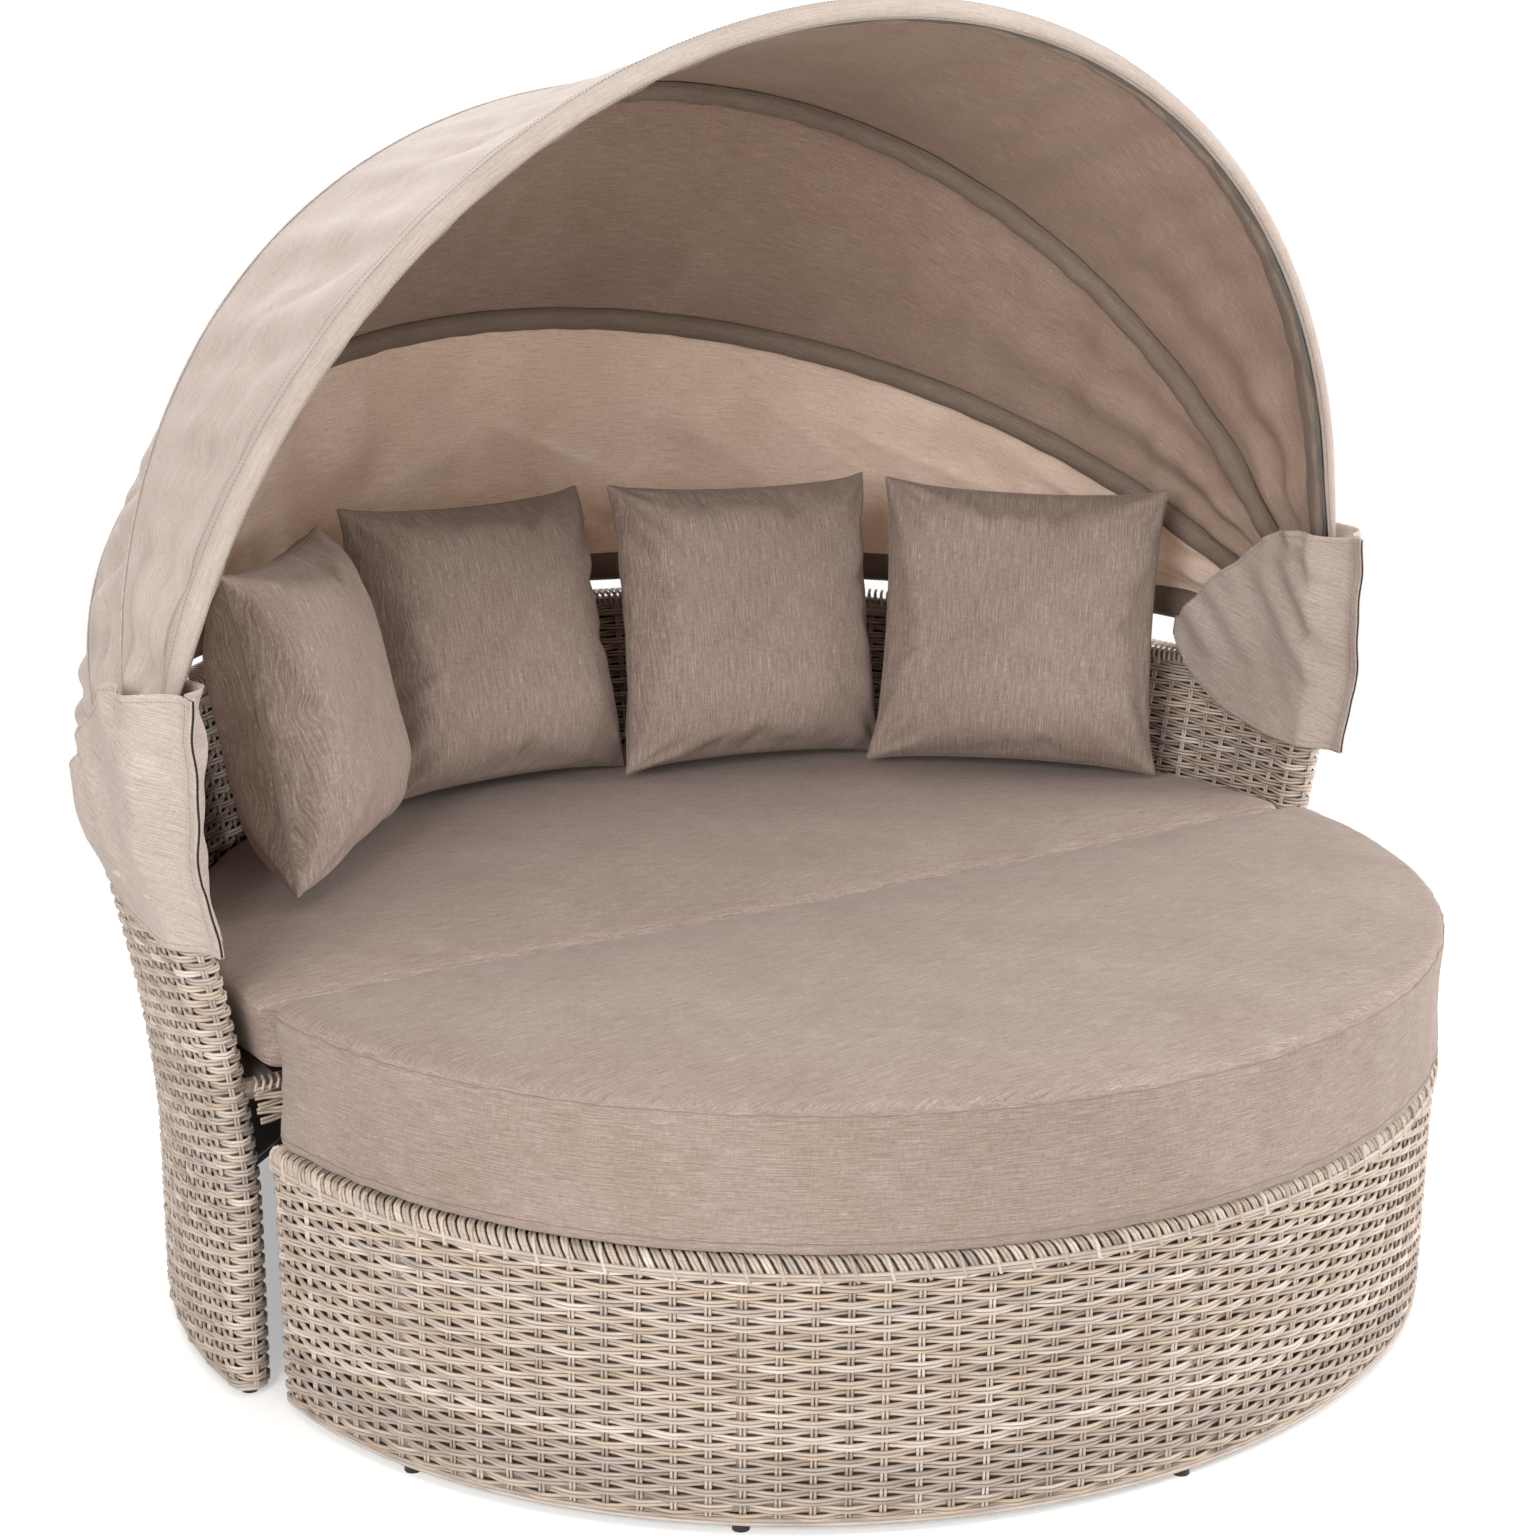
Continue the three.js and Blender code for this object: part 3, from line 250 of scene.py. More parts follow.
# Materials
def wicker_material():
    """Extruded round polyethylene strand, satin, in sun-bleached mixed tones from cream to tan."""
    material, tree = new_material("extruded_round_strand")
    tint = put(tree, "ShaderNodeAttribute", {"attribute_name": "tint"}).outputs["Fac"]
    along = put(tree, "ShaderNodeAttribute", {"attribute_name": "along"}).outputs["Fac"]
    place = put(tree, "ShaderNodeTexCoord").outputs["Object"]
    bleached = [(0.0, "#e3d8cf"), (0.22, "#cfbfae"), (0.42, "#dbd0c7")]
    bleached += [(0.6, "#bdb2ab"), (0.78, "#d5c4b3"), (1.0, "#ece3dc")]
    colour = tones(tree, tint, *bleached)
    # Tone drifts over about 60 mm along a strand, and each strand has its own drift
    strand = result(tree, "ShaderNodeCombineXYZ", links={"X": along, "Y": tint})
    drift = noise(tree, strand, (16, 90, 1), 3)
    drift_tone = tones(tree, drift, (0.3, "#c2b6ad"), (0.5, "#ebe5e0"), (0.72, "#fffdfb"))
    colour = stained(tree, 0.75, colour, drift_tone)
    # Extrusion lines run along the strand, drawn 1 mm apart to show at this size
    lines = noise(tree, place, (14, 14, 1000), 2)
    colour = stained(tree, 0.8, colour, tones(tree, lines, (0.32, "#dcd5cf"), (0.55, "#ffffff")))
    rough = ranged(tree, drift, 0.42, 0.62)
    close_surface(tree, {"IOR": 1.5}, colour, relief(tree, lines, 0.25, 0.0004), rough)
    return material


def cloth_material(name, dark, middle, light, sheen, thin):
    """Solution-dyed slub weave: long thin slubs of mixed taupe yarn, matt with a faint bloom.
    Its UV map is in metres, with U along the slubs. A thin cloth lets light through."""
    material, tree = new_material(name)
    flat = result(tree, "ShaderNodeUVMap", {"uv_map": "cloth"})
    # Slubs are 10 to 60 mm long and drawn 1.4 mm apart, because the yarn's 0.5 mm is too fine to show
    slubs = noise(tree, flat, (26, 640, 1), 4, 0.62)
    yarn = noise(tree, flat, (130, 1150, 1), 3, 0.6)
    warp = noise(tree, flat, (900, 60, 1), 2)
    weave = crossed(tree, 0.16, crossed(tree, 0.42, slubs, yarn), warp)
    colour = tones(tree, weave, (0.34, dark), (0.5, middle), (0.66, light))
    # The dye and the light fall on it a little unevenly over a hand's width
    cloud = tones(tree, noise(tree, flat, 7, 2), (0.3, "#e9e4df"), (0.7, "#ffffff"))
    colour = stained(tree, 0.6, colour, cloud)
    settings = {
        "Roughness": 0.88,
        "IOR": 1.45,
        "Sheen Weight": sheen,
        "Sheen Roughness": 0.5,
        "Subsurface Weight": thin,
        "Subsurface Radius": (1.0, 0.92, 0.86),
        "Subsurface Scale": 0.006,
    }
    close_surface(tree, settings, colour, relief(tree, weave, 0.35, 0.0004))
    return material


def coated_material(name, code, worn_code, grain, roughness, metallic):
    """A coated or moulded surface: fine grain from its making, and tone that wears along it."""
    material, tree = new_material(name)
    place = put(tree, "ShaderNodeTexCoord").outputs["Object"]
    patches = noise(tree, place, 22, 3)
    colour = tones(tree, patches, (0.38, code), (0.72, worn_code))
    rough = ranged(tree, patches, roughness - 0.08, roughness + 0.1)
    normal = relief(tree, noise(tree, place, grain, 3), 0.2, 0.0002)
    close_surface(tree, {"Metallic": metallic}, colour, normal, rough)
    return material


def slat_material():
    """Oiled hardwood slat: straight grain along the slat, with rings about 4 mm apart."""
    material, tree = new_material("oiled_hardwood")
    place = put(tree, "ShaderNodeTexCoord").outputs["Object"]
    grain = noise(tree, place, (250, 9, 250), 5, 0.6)
    colour = tones(tree, grain, (0.3, "#6f573d"), (0.5, "#8f7352"), (0.7, "#a88b66"))
    close_surface(tree, {"Roughness": 0.6}, colour, relief(tree, grain, 0.2, 0.0003))
    return material


STRAND = wicker_material()
# The same yarn on seat and scatter cushions; the scatter cushions' copy has paler slubs, painted light that
# lifts them in the canopy's shade
CUSHION_CLOTH = cloth_material("slub_weave_cushion", "#7e6d63", "#9d8b80", "#bfb0a6", 0.1, 0)
PILLOW_CLOTH_PAINTED_LIGHT = cloth_material("slub_weave_scatter_painted_light", "#7d6c64", "#a28f84", "#cebeb4", 0.1, 0)
CANOPY_CLOTH = cloth_material("slub_weave_canopy", "#9c8c83", "#bbaca3", "#d8ccc5", 0.08, 0.22)
# The same cloth's inside, in lit and shaded copies: browner and darker on the front and middle panels as
# painted shade, and paler on the rear panel as painted light, where more light comes through
CANOPY_INSIDE_PAINTED_SHADE = cloth_material("slub_weave_canopy_inside_painted_shade", "#82705f", "#a28d7f", "#c4b1a4", 0.05, 0.22)
REAR_INSIDE_PAINTED_LIGHT = cloth_material("slub_weave_canopy_rear_inside_painted_light", "#bba597", "#e0cabb", "#f4e4d7", 0.05, 0.35)
# Tapes of an even tone: a calm border along the hem, and on the pockets a darker tape, painted shade, so that
# each bow shows as a shadowed band from inside
HEM_TWILL = cloth_material("twill_hem_tape", "#a3958c", "#b7a99f", "#cbbfb7", 0.08, 0)
POCKET_TWILL_PAINTED_SHADE = cloth_material("twill_pocket_tape_painted_shade", "#76675d", "#87776b", "#9c8b80", 0.05, 0)
# Matt thread, a shade darker than the cloth
SEAM_THREAD = coated_material("bonded_polyester_thread", "#83746a", "#91827a", 900, 0.7, 0)
# A dark sheet of painted shade: it keeps the gaps of the weave dark, as the shaded inside of a hollow wall is
PAINTED_SHADE_LINER = coated_material("painted_shade_weave_backing", "#54473e", "#615349", 400, 0.9, 0)
# Powder coat with a fine grain and soft highlights, darker on the bows
FRAME_TUBE = coated_material("powder_coated_aluminium_taupe", "#8a7f74", "#978c81", 1200, 0.5, 0.2)
BOW_TUBE = coated_material("powder_coated_aluminium_bow", "#6d6761", "#7b756f", 1200, 0.45, 0.3)
# Small cool glints at the pivots
ZINC = coated_material("zinc_plated_steel", "#a6a8aa", "#bcbdbd", 700, 0.36, 0.95)
# Half-matt black feet, and a flat black line between the leaves of the ears
BLACK_PLASTIC = coated_material("moulded_black_polyamide", "#151515", "#202020", 900, 0.5, 0)
TOUCH_TAPE = coated_material("hook_and_loop_tape", "#0d0d0e", "#1a1a1c", 1500, 0.9, 0)
SLAT_WOOD = slat_material()


# Meshes
def link(piece):
    scene.collection.objects.link(piece)
    return piece


def carry(piece, body):
    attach(piece, body)
    return piece


def read(items, key, width=1, kind=float):
    """A value, or a row of them, for each of a mesh's points, corners or faces."""
    values = np.zeros(len(items) * width, kind)
    items.foreach_get(key, values)
    return values.reshape(-1, width) if width > 1 else values


def mesh_points(mesh):
    return read(mesh.vertices, "co", 3)


def corner_points(mesh):
    """The number of the point at each corner of each face."""
    return read(mesh.loops, "vertex_index", kind=np.int32)


def move_points(mesh, points):
    mesh.vertices.foreach_set("co", points.astype(np.float32).ravel())
    mesh.update()


def lay_uv(mesh, uv):
    mesh.uv_layers.new(name="cloth").data.foreach_set("uv", uv.astype(np.float32).ravel())


def signed_volume(points, faces):
    total = 0.0
    for face in faces:
        a = points[face[0]]
        for i in range(1, len(face) - 1):
            total += np.dot(a, np.cross(points[face[i]], points[face[i + 1]]))
    return total


def make_piece(name, points, faces, materials, face_materials=None, uv=None):
    """A smooth mesh piece whose faces point outwards. UV is given for each point, in metres."""
    faces = [list(map(int, face)) for face in faces]
    if signed_volume(np.asarray(points), faces) < 0:
        faces = [face[::-1] for face in faces]
    mesh = bpy.data.meshes.new(name)
    mesh.from_pydata([tuple(map(float, p)) for p in points], [], faces)
    for material in materials:
        mesh.materials.append(material)
    if face_materials is not None:
        mesh.polygons.foreach_set("material_index", np.asarray(face_materials, np.int32))
    mesh.shade_smooth()
    if uv is not None:
        lay_uv(mesh, uv[corner_points(mesh)])
    mesh.update()
    return link(bpy.data.objects.new(name, mesh))


def grid_faces(rows, columns):
    first = (np.arange(rows - 1)[:, None] * columns + np.arange(columns - 1)[None, :]).ravel()
    return np.stack([first, first + 1, first + columns + 1, first + columns], -1)


def grid_border(rows, columns):
    top = list(range(columns))
    right = [r * columns + columns - 1 for r in range(1, rows)]
    bottom = [(rows - 1) * columns + c for c in range(columns - 2, -1, -1)]
    left = [r * columns for r in range(rows - 2, 0, -1)]
    return top + right + bottom + left


def ring_faces(rings, columns, joined=False):
    """Faces between closed rings of points. Joined, the last ring meets the first."""
    faces = []
    for ring in range(rings if joined else rings - 1):
        lower = np.arange(columns) + ring * columns
        upper = np.arange(columns) + (ring + 1) % rings * columns
        faces += np.stack([lower, np.roll(lower, -1), np.roll(upper, -1), upper], -1).tolist()
    return faces


def sheet_piece(name, outer, inner, uv, materials):
    """Cloth between two grids of points: its outer side, its inner side and its cut edges."""
    rows, columns = outer.shape[:2]
    count = rows * columns
    points = np.concatenate([outer.reshape(-1, 3), inner.reshape(-1, 3)])
    front = grid_faces(rows, columns)
    back = front[:, ::-1] + count
    border = np.array(grid_border(rows, columns))
    following = np.roll(border, -1)
    walls = np.stack([following, border, border + count, following + count], -1)
    faces = np.concatenate([front, back, walls])
    sides = [0] * len(front) + [len(materials) - 1] * (len(back) + len(walls))
    flat = np.concatenate([uv.reshape(-1, 2)] * 2)
    return make_piece(name, points, faces, materials, sides, flat)


def sheet_area(grid):
    a = grid[1:, :-1] - grid[:-1, :-1]
    b = grid[:-1, 1:] - grid[:-1, :-1]
    c = grid[1:, :-1] - grid[1:, 1:]
    d = grid[:-1, 1:] - grid[1:, 1:]
    halves = [np.linalg.norm(np.cross(*sides), axis=-1) for sides in ((a, b), (c, d))]
    return float((halves[0] + halves[1]).sum() / 2)


def applied(piece):
    """Turns a piece's modifiers into its mesh."""
    mesh = bpy.data.meshes.new_from_object(piece.evaluated_get(bpy.context.evaluated_depsgraph_get()))
    piece.modifiers.clear()
    piece.data = mesh
    return mesh


# Strands and stitches, grown along paths
def new_tree(name, **inputs):
    tree = bpy.data.node_groups.new(name, "GeometryNodeTree")
    tree.interface.new_socket("path", in_out="INPUT", socket_type="NodeSocketGeometry")
    for label, kind in inputs.items():
        tree.interface.new_socket(label, in_out="INPUT", socket_type="NodeSocket" + kind)
    tree.interface.new_socket("grown", in_out="OUTPUT", socket_type="NodeSocketGeometry")
    given = put(tree, "NodeGroupInput").outputs
    return tree, given, result(tree, "GeometryNodeMeshToCurve", links={"Mesh": given["path"]})


def close_tree(tree, given, geometry):
    real = result(tree, "GeometryNodeRealizeInstances", links={"Geometry": geometry})
    shaded = result(tree, "GeometryNodeSetShadeSmooth", links={"Geometry": real})
    links = {"Geometry": shaded, "Material": given["finish"]}
    put(tree, "NodeGroupOutput", links={0: result(tree, "GeometryNodeSetMaterial", links=links)})
    return tree


def strand_tree():
    """A round strand along each path."""
    tree, given, path = new_tree("round_strands", radius="Float", sides="Int", finish="Material")
    links = {"Resolution": given["sides"], "Radius": given["radius"]}
    ring = result(tree, "GeometryNodeCurvePrimitiveCircle", links=links)
    links = {"Curve": path, "Profile Curve": ring}
    return close_tree(tree, given, result(tree, "GeometryNodeCurveToMesh", {"Fill Caps": True}, links))


def stitch_tree():
    """A row of short stitches along each path."""
    kinds = {"pitch": "Float", "length": "Float", "thread_radius": "Float", "finish": "Material"}
    tree, given, path = new_tree("stitches", **kinds)
    links = {"Curve": path, "Length": given["pitch"]}
    marks = put(tree, "GeometryNodeCurveToPoints", {"mode": "LENGTH"}, links).outputs
    links = {"Radius": given["thread_radius"], "Depth": given["length"]}
    thread = result(tree, "GeometryNodeMeshCylinder", {"Vertices": 5}, links)
    links = {"Points": marks["Points"], "Instance": thread, "Rotation": marks["Rotation"]}
    return close_tree(tree, given, result(tree, "GeometryNodeInstanceOnPoints", links=links))


STRANDS = strand_tree()
STITCHES = stitch_tree()


def path_mesh(name, lines):
    """Paths as loose edges. Each line is (points, closed, tint)."""
    points, edges, tints, along = [], [], [], []
    start = 0
    for line, closed, tint in lines:
        index = np.arange(len(line)) + start
        edges.append(np.stack([index[:-1], index[1:]], -1))
        if closed:
            edges.append(np.array([[index[-1], index[0]]]))
        along.append(arc_length(line))
        tints.append(np.full(len(line), tint))
        points.append(line)
        start += len(line)
    mesh = bpy.data.meshes.new(name)
    edges = np.concatenate(edges)
    mesh.vertices.add(start)
    mesh.vertices.foreach_set("co", np.concatenate(points).astype(np.float32).ravel())
    mesh.edges.add(len(edges))
    mesh.edges.foreach_set("vertices", edges.astype(np.int32).ravel())
    for label, values in (("tint", tints), ("along", along)):
        layer = mesh.attributes.new(label, "FLOAT", "POINT")
        layer.data.foreach_set("value", np.concatenate(values).astype(np.float32))
    mesh.update()
    return mesh


def grow(name, tree, lines, **inputs):
    """Runs a tree on a set of paths and keeps the result as a plain mesh piece."""
    holder = link(bpy.data.objects.new(name + "_path", path_mesh(name + "_path", lines)))
    modifier = holder.modifiers.new("grow", "NODES")
    modifier.node_group = tree
    for item in tree.interface.items_tree:
        if item.item_type == "SOCKET" and item.in_out == "INPUT" and item.name in inputs:
            modifier[item.identifier] = inputs[item.name]
    mesh = bpy.data.meshes.new_from_object(holder.evaluated_get(bpy.context.evaluated_depsgraph_get()))
    bpy.data.objects.remove(holder)
    mesh.name = name
    return link(bpy.data.objects.new(name, mesh))


def strands(name, lines, body, radius=STRAND_RADIUS, sides=5, finish=STRAND):
    return carry(grow(name, STRANDS, lines, radius=radius, sides=sides, finish=finish), body)


def stitches(name, lines, body, pitch=0.006, length=0.0038, radius=0.0005):
    sizes = {"pitch": pitch, "length": length, "thread_radius": radius}
    return carry(grow(name, STITCHES, lines, finish=SEAM_THREAD, **sizes), body)


# Sofa weave
WALL_STAKES = 76
NOSE_STAKES = 2
WALL_LOOP = 2 * (WALL_STAKES + NOSE_STAKES)
WALL_SPAN = math.pi - 2 * ARM_END
WALL_ROWS = 68
SEAT_LEVEL = 0.70
INNER_STAKES_FROM = 0.68
WALL_EDGE_RISES = (-0.001, 0.003)
LINING_GAP = 0.0012
LINING_SHARES = (0.004, 1.0, 26)
WRAP_RADIUS = 0.0023
WRAP_COUNT = 300
WRAP_LEAN = 0.014
WRAP_INSET = 0.001
WRAP_LIFT = 0.0006
WRAP_CORNER = 0.013
WRAP_DROPS = (0.020, 0.027)
RIM_BORDER_DROPS = (0.0262, 0.0304)
RIM_BORDER_INSET = 0.0012


def wall_radius(z):
    rise = np.clip((z - FLARE_START) / (BACK_HEIGHT - FLARE_START), 0, None)
    return WALL_FLOOR_RADIUS + WALL_FLARE * rise**FLARE_POWER


def rim_height(angle):
    from_arm = np.minimum(angle, math.pi - angle)
    rise = smooth((from_arm - ARM_LEVEL) / (BACK_LEVEL - ARM_LEVEL))
    return mix(ARM_HEIGHT, BACK_HEIGHT, rise)


def wall_place(phase, share, out, rise, half=WALL_HALF - WEAVE_INSET):
    """A point of the woven wall: along its loop by stake, up by share, out from the weave's middle."""
    phase = np.mod(phase, WALL_LOOP)
    left_nose = phase - WALL_STAKES
    inside = left_nose - NOSE_STAKES
    right_nose = inside - WALL_STAKES
    angle = ARM_END + WALL_SPAN * np.clip(phase / WALL_STAKES, 0, 1)
    angle = angle - WALL_SPAN * np.clip(inside / WALL_STAKES, 0, 1)
    turn = math.pi * (np.clip(left_nose / NOSE_STAKES, 0, 1) + np.clip(right_nose / NOSE_STAKES, 0, 1))
    z = WALL_BOTTOM + (rim_height(angle) - WALL_TOP_DROP - WALL_BOTTOM) * share + rise
    reach = half + out
    radial = wall_radius(z) - WALL_HALF + reach * np.cos(turn)
    forward = reach * np.abs(np.sin(turn))
    return np.stack([radial * np.cos(angle), WALL_Y + radial * np.sin(angle) - forward, z], -1)


def woven_rows(place, rows, row_count, first, last, closed):
    """Pairs of strands that pass over and under the stakes, shifted by one stake from row to row."""
    lines = []
    count = int(round((last - first) * STEPS_PER_STAKE)) + (0 if closed else 1)
    phase = first + np.arange(count) / STEPS_PER_STAKE
    for row in rows:
        tone = random.random()
        for twin in (-1, 1):
            wander = 1 + WEAVE_WANDER * np.sin(phase * 1.7 + row * 2.3 + twin)
            out = WEAVE_DEPTH * np.cos(math.pi * (phase + row)) * wander
            rise = twin * TWIN + ROW_WOBBLE * np.sin(phase * 0.83 + row * 1.9)
            share = np.full(count, (row + 0.5) / row_count)
            tint = float(np.clip(tone + random.normal(0, TWIN_TONE), 0, 1))
            lines.append((place(phase, share, out, rise), closed, tint))
    return lines


def standing_stakes(place, phases, low_share, steps=10):
    """Pairs of stakes that stand between the rows."""
    lines = []
    share = np.linspace(low_share, 1, steps)
    for phase in phases:
        tone = random.random()
        lean = random.normal(0, STAKE_LEAN)
        for twin in (-1, 1):
            sway = lean * np.sin(3 * share + phase) + twin * STAKE_TWIN / STAKE_PITCH
            lines.append((place(phase + sway, share, np.zeros(steps), np.zeros(steps)), False, tone))
    return lines


def border_tint(height, middle):
    """The strands of a border differ a little in tone."""
    return middle + height * 50


def build_sofa_weave():
    """Below the seat only the outside and the arms' noses are woven, above it the whole loop."""
    seat_row = int(WALL_ROWS * SEAT_LEVEL)
    hidden = NOSE_STAKES + 3
    lower = (WALL_ROWS, -hidden, WALL_STAKES + hidden, False)
    upper = (WALL_ROWS, 0, WALL_LOOP, True)
    cuts = [0, seat_row // 2, seat_row, (seat_row + WALL_ROWS) // 2, WALL_ROWS]
    for number, (low, high) in enumerate(zip(cuts, cuts[1:]), 1):
        rows = woven_rows(wall_place, range(low, high), *(lower if high <= seat_row else upper))
        piece = strands(f"sofa_weave_{number}", rows, "sofa")
        if number == 1:
            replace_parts(piece, "sofa_wicker")
    outer = list(range(-1, WALL_STAKES + 2))
    ends = [-4, -3, -2, WALL_STAKES + 2, WALL_STAKES + 3, WALL_STAKES + 4]
    inner = list(range(WALL_STAKES + 5, WALL_LOOP - 4))
    lines = standing_stakes(wall_place, outer + ends, 0)
    lines += standing_stakes(wall_place, inner, INNER_STAKES_FROM, 5)
    strands("sofa_stakes", lines, "sofa", STAKE_RADIUS, 4)
    phase = np.arange(-hidden * 2, (WALL_STAKES + hidden) * 2 + 1) / 2
    zero = np.zeros(len(phase))
    edge = [
        (wall_place(phase, zero, zero, zero + rise), False, border_tint(rise, 0.5))
        for rise in WALL_EDGE_RISES
    ]
    strands("sofa_bottom_edge", edge, "sofa", BORDER_RADIUS, 6)


def facing(index):
    """The point of the wall's loop that lies across the wall from this one."""
    return (WALL_LOOP - NOSE_STAKES - index) % WALL_LOOP


def wall_lining():
    """A dark skin inside the weave, painted shade for the dark hollow of the wall, that also keeps the light
    from passing through the wall.
    """
    phase = np.arange(0, WALL_LOOP)
    half = WALL_HALF - WEAVE_INSET - WEAVE_DEPTH - STRAND_RADIUS - LINING_GAP
    shares = np.linspace(*LINING_SHARES)
    grid = np.stack([wall_place(phase, np.full(len(phase), share), 0, 0, half) for share in shares])
    rows, columns = grid.shape[:2]
    faces = ring_faces(rows, columns)
    # The top and bottom close across the wall, from each outer point to the one facing it
    for base in (0, (rows - 1) * columns):
        for b in range(0, WALL_STAKES + 2):
            a = (b - 1) % columns
            quad = list(dict.fromkeys([base + a, base + b, base + facing(b), base + facing(a)]))
            if len(quad) > 2:
                faces.append(quad if base else quad[::-1])
    carry(make_piece("sofa_wall_painted_shade_lining", grid.reshape(-1, 3), faces, [PAINTED_SHADE_LINER]), "sofa")


def wrap_section(steps):
    """Half-width and drop of a wrap, from the rim's inner side over its top to its outer side."""
    half = WALL_HALF - STRAND_RADIUS - WRAP_INSET
    turns = np.linspace(0, math.pi / 2, steps)
    across = half - WRAP_CORNER + WRAP_CORNER * np.sin(turns)
    over = np.stack([across, WRAP_CORNER - WRAP_CORNER * np.cos(turns)], -1)
    right = np.concatenate([over, [[half, drop] for drop in WRAP_DROPS]])
    return np.concatenate([right[::-1] * [-1, 1], right]) + [0, STRAND_RADIUS + WRAP_LIFT]


def build_sofa_rim():
    """Strands wrapped over the top of the wall, leaning, with two border strands on each side."""

    def wall_line(angle, radial, z):
        line = np.stack([radial * np.cos(angle), WALL_Y + radial * np.sin(angle), z], -1)
        return line, False, random.random()

    section = wrap_section(4)
    share = np.linspace(-0.5, 0.5, len(section))
    lines = []
    for i in range(WRAP_COUNT):
        middle = ARM_END + WALL_SPAN * (i + 0.5) / WRAP_COUNT
        angle = np.clip(middle + share * WRAP_LEAN, ARM_END, math.pi - ARM_END)
        rim = rim_height(angle)
        lines.append(wall_line(angle, wall_radius(rim) - WALL_HALF + section[:, 0], rim - section[:, 1]))
    angle = np.linspace(ARM_END, math.pi - ARM_END, 150)
    for side in (-1, 1):
        for drop in RIM_BORDER_DROPS:
            z = rim_height(angle) - drop
            radial = wall_radius(z) - WALL_HALF + side * (WALL_HALF - RIM_BORDER_INSET)
            lines.append(wall_line(angle, radial, z))
    strands("sofa_rim_wrap", lines, "sofa", WRAP_RADIUS, 5)


# Outlines
def half_round(half_width, depth, chord, straight, side, inset, steps=220, chord_steps=110):
    """Half-round outline with small corners, as the CAD source draws it."""
    radius_x, radius_y = half_width - inset, depth - inset
    middle, back = chord + side * straight, chord + side * inset
    small = min(CORNER, radius_y / 2)
    start = math.asin(max(0, inset + small - straight) / radius_y)
    turn = np.linspace(start, math.pi - start, steps)
    arc = np.stack([radius_x * np.cos(turn), middle + side * radius_y * np.sin(turn)], -1)
    end_x = abs(arc[0, 0])
    shoulder = back + side * small
    t = np.linspace(0, 1, 10)[:, None]

    def bend(a, b, c):
        a, b, c = map(np.array, (a, b, c))
        return a * (1 - t) ** 2 + b * 2 * t * (1 - t) + c * t**2

    left = bend((-end_x, shoulder), (-end_x, back), (-end_x + small, back))
    right = bend((end_x - small, back), (end_x, back), (end_x, shoulder))
    # Where the arc already ends at a corner's shoulder, that point isn't laid twice
    if not side * arc[-1, 1] > side * shoulder + 0.0003:
        left, right = left[1:], right[:-1]
    x = np.linspace(-end_x + small, end_x - small, chord_steps)[1:-1]
    straight_part = np.stack([x, np.full(len(x), back)], -1)
    return np.concatenate([arc, left, straight_part, right])


def loop_at(line, at, places):
    """Points of a closed flat line, found by their place along it."""
    loop = np.concatenate([line, line[:1]])
    return np.stack([np.interp(at, places, loop[:, i]) for i in range(2)], -1)


def evenly(outline, count, other):
    """Resamples a closed outline by its length. Another outline of the same layout follows it."""
    length = arc_length(np.concatenate([outline, outline[:1]]))
    at = np.linspace(0, length[-1], count, endpoint=False)
    return [loop_at(line, at, length) for line in (outline, other)]


# Ottoman weave
SKIRT_STAKES = 102
SKIRT_SAMPLES = SKIRT_STAKES * 12
SKIRT_ROWS = 31
SKIRT_WEAVE_BOTTOM = SKIRT_BOTTOM + 0.003
SKIRT_WEAVE_TOP = RIM_TOP - RIM_HEIGHT + 0.001
SKIRT_EDGE_RISES = (0, 0.0042)
SKIRT_EDGE_INSET = 0.005
SKIRT_LINING_LEVELS = (0.014, 0.11, 0.21, 0.302)
SKIRT_LINING_INSET = WEAVE_INSET + WEAVE_DEPTH + STRAND_RADIUS + 0.001
SKIRT_LINING = 0.0015
# The rim's section as inset and height, from outside over the top to the cushion
SKIRT_RIM = [(0.001, 0.299), (0.001, 0.308), (0.0016, 0.315), (0.005, 0.3203)]
SKIRT_RIM += [(0.011, 0.3216), (0.021, 0.3218), (0.030, 0.3214), (0.0325, 0.316)]
SKIRT_WRAP_RADIUS = 0.0024
SKIRT_WRAP_LEAN = 0.34
SKIRT_WRAP_TWIN = 0.062
HOOK_SHIFT = (0.0034, -0.001)
HOOK_TAIL = 0.004
HOOK_LEAN = (-0.16, 0.10)
SKIRT_BORDERS = (0.3005, 0.3048)
SKIRT_BORDER_INSET = 0.0006

skirt_at_rim, skirt_at_floor = evenly(
    half_round(SKIRT_HALF_WIDTH, SKIRT_DEPTH, OTTOMAN_BACK, 0, -1, 0),
    SKIRT_SAMPLES,
    half_round(SKIRT_HALF_WIDTH - SKIRT_TAPER_SIDE, SKIRT_DEPTH - SKIRT_TAPER_FRONT, OTTOMAN_BACK, 0, -1, 0),
)
skirt_run = np.roll(skirt_at_rim, -3, axis=0) - np.roll(skirt_at_rim, 3, axis=0)
skirt_run /= np.linalg.norm(skirt_run, axis=1)[:, None]
skirt_normal = np.stack([skirt_run[:, 1], -skirt_run[:, 0]], -1)
if np.sum(skirt_normal * (skirt_at_rim - skirt_at_rim.mean(0))) < 0:
    skirt_normal = -skirt_normal


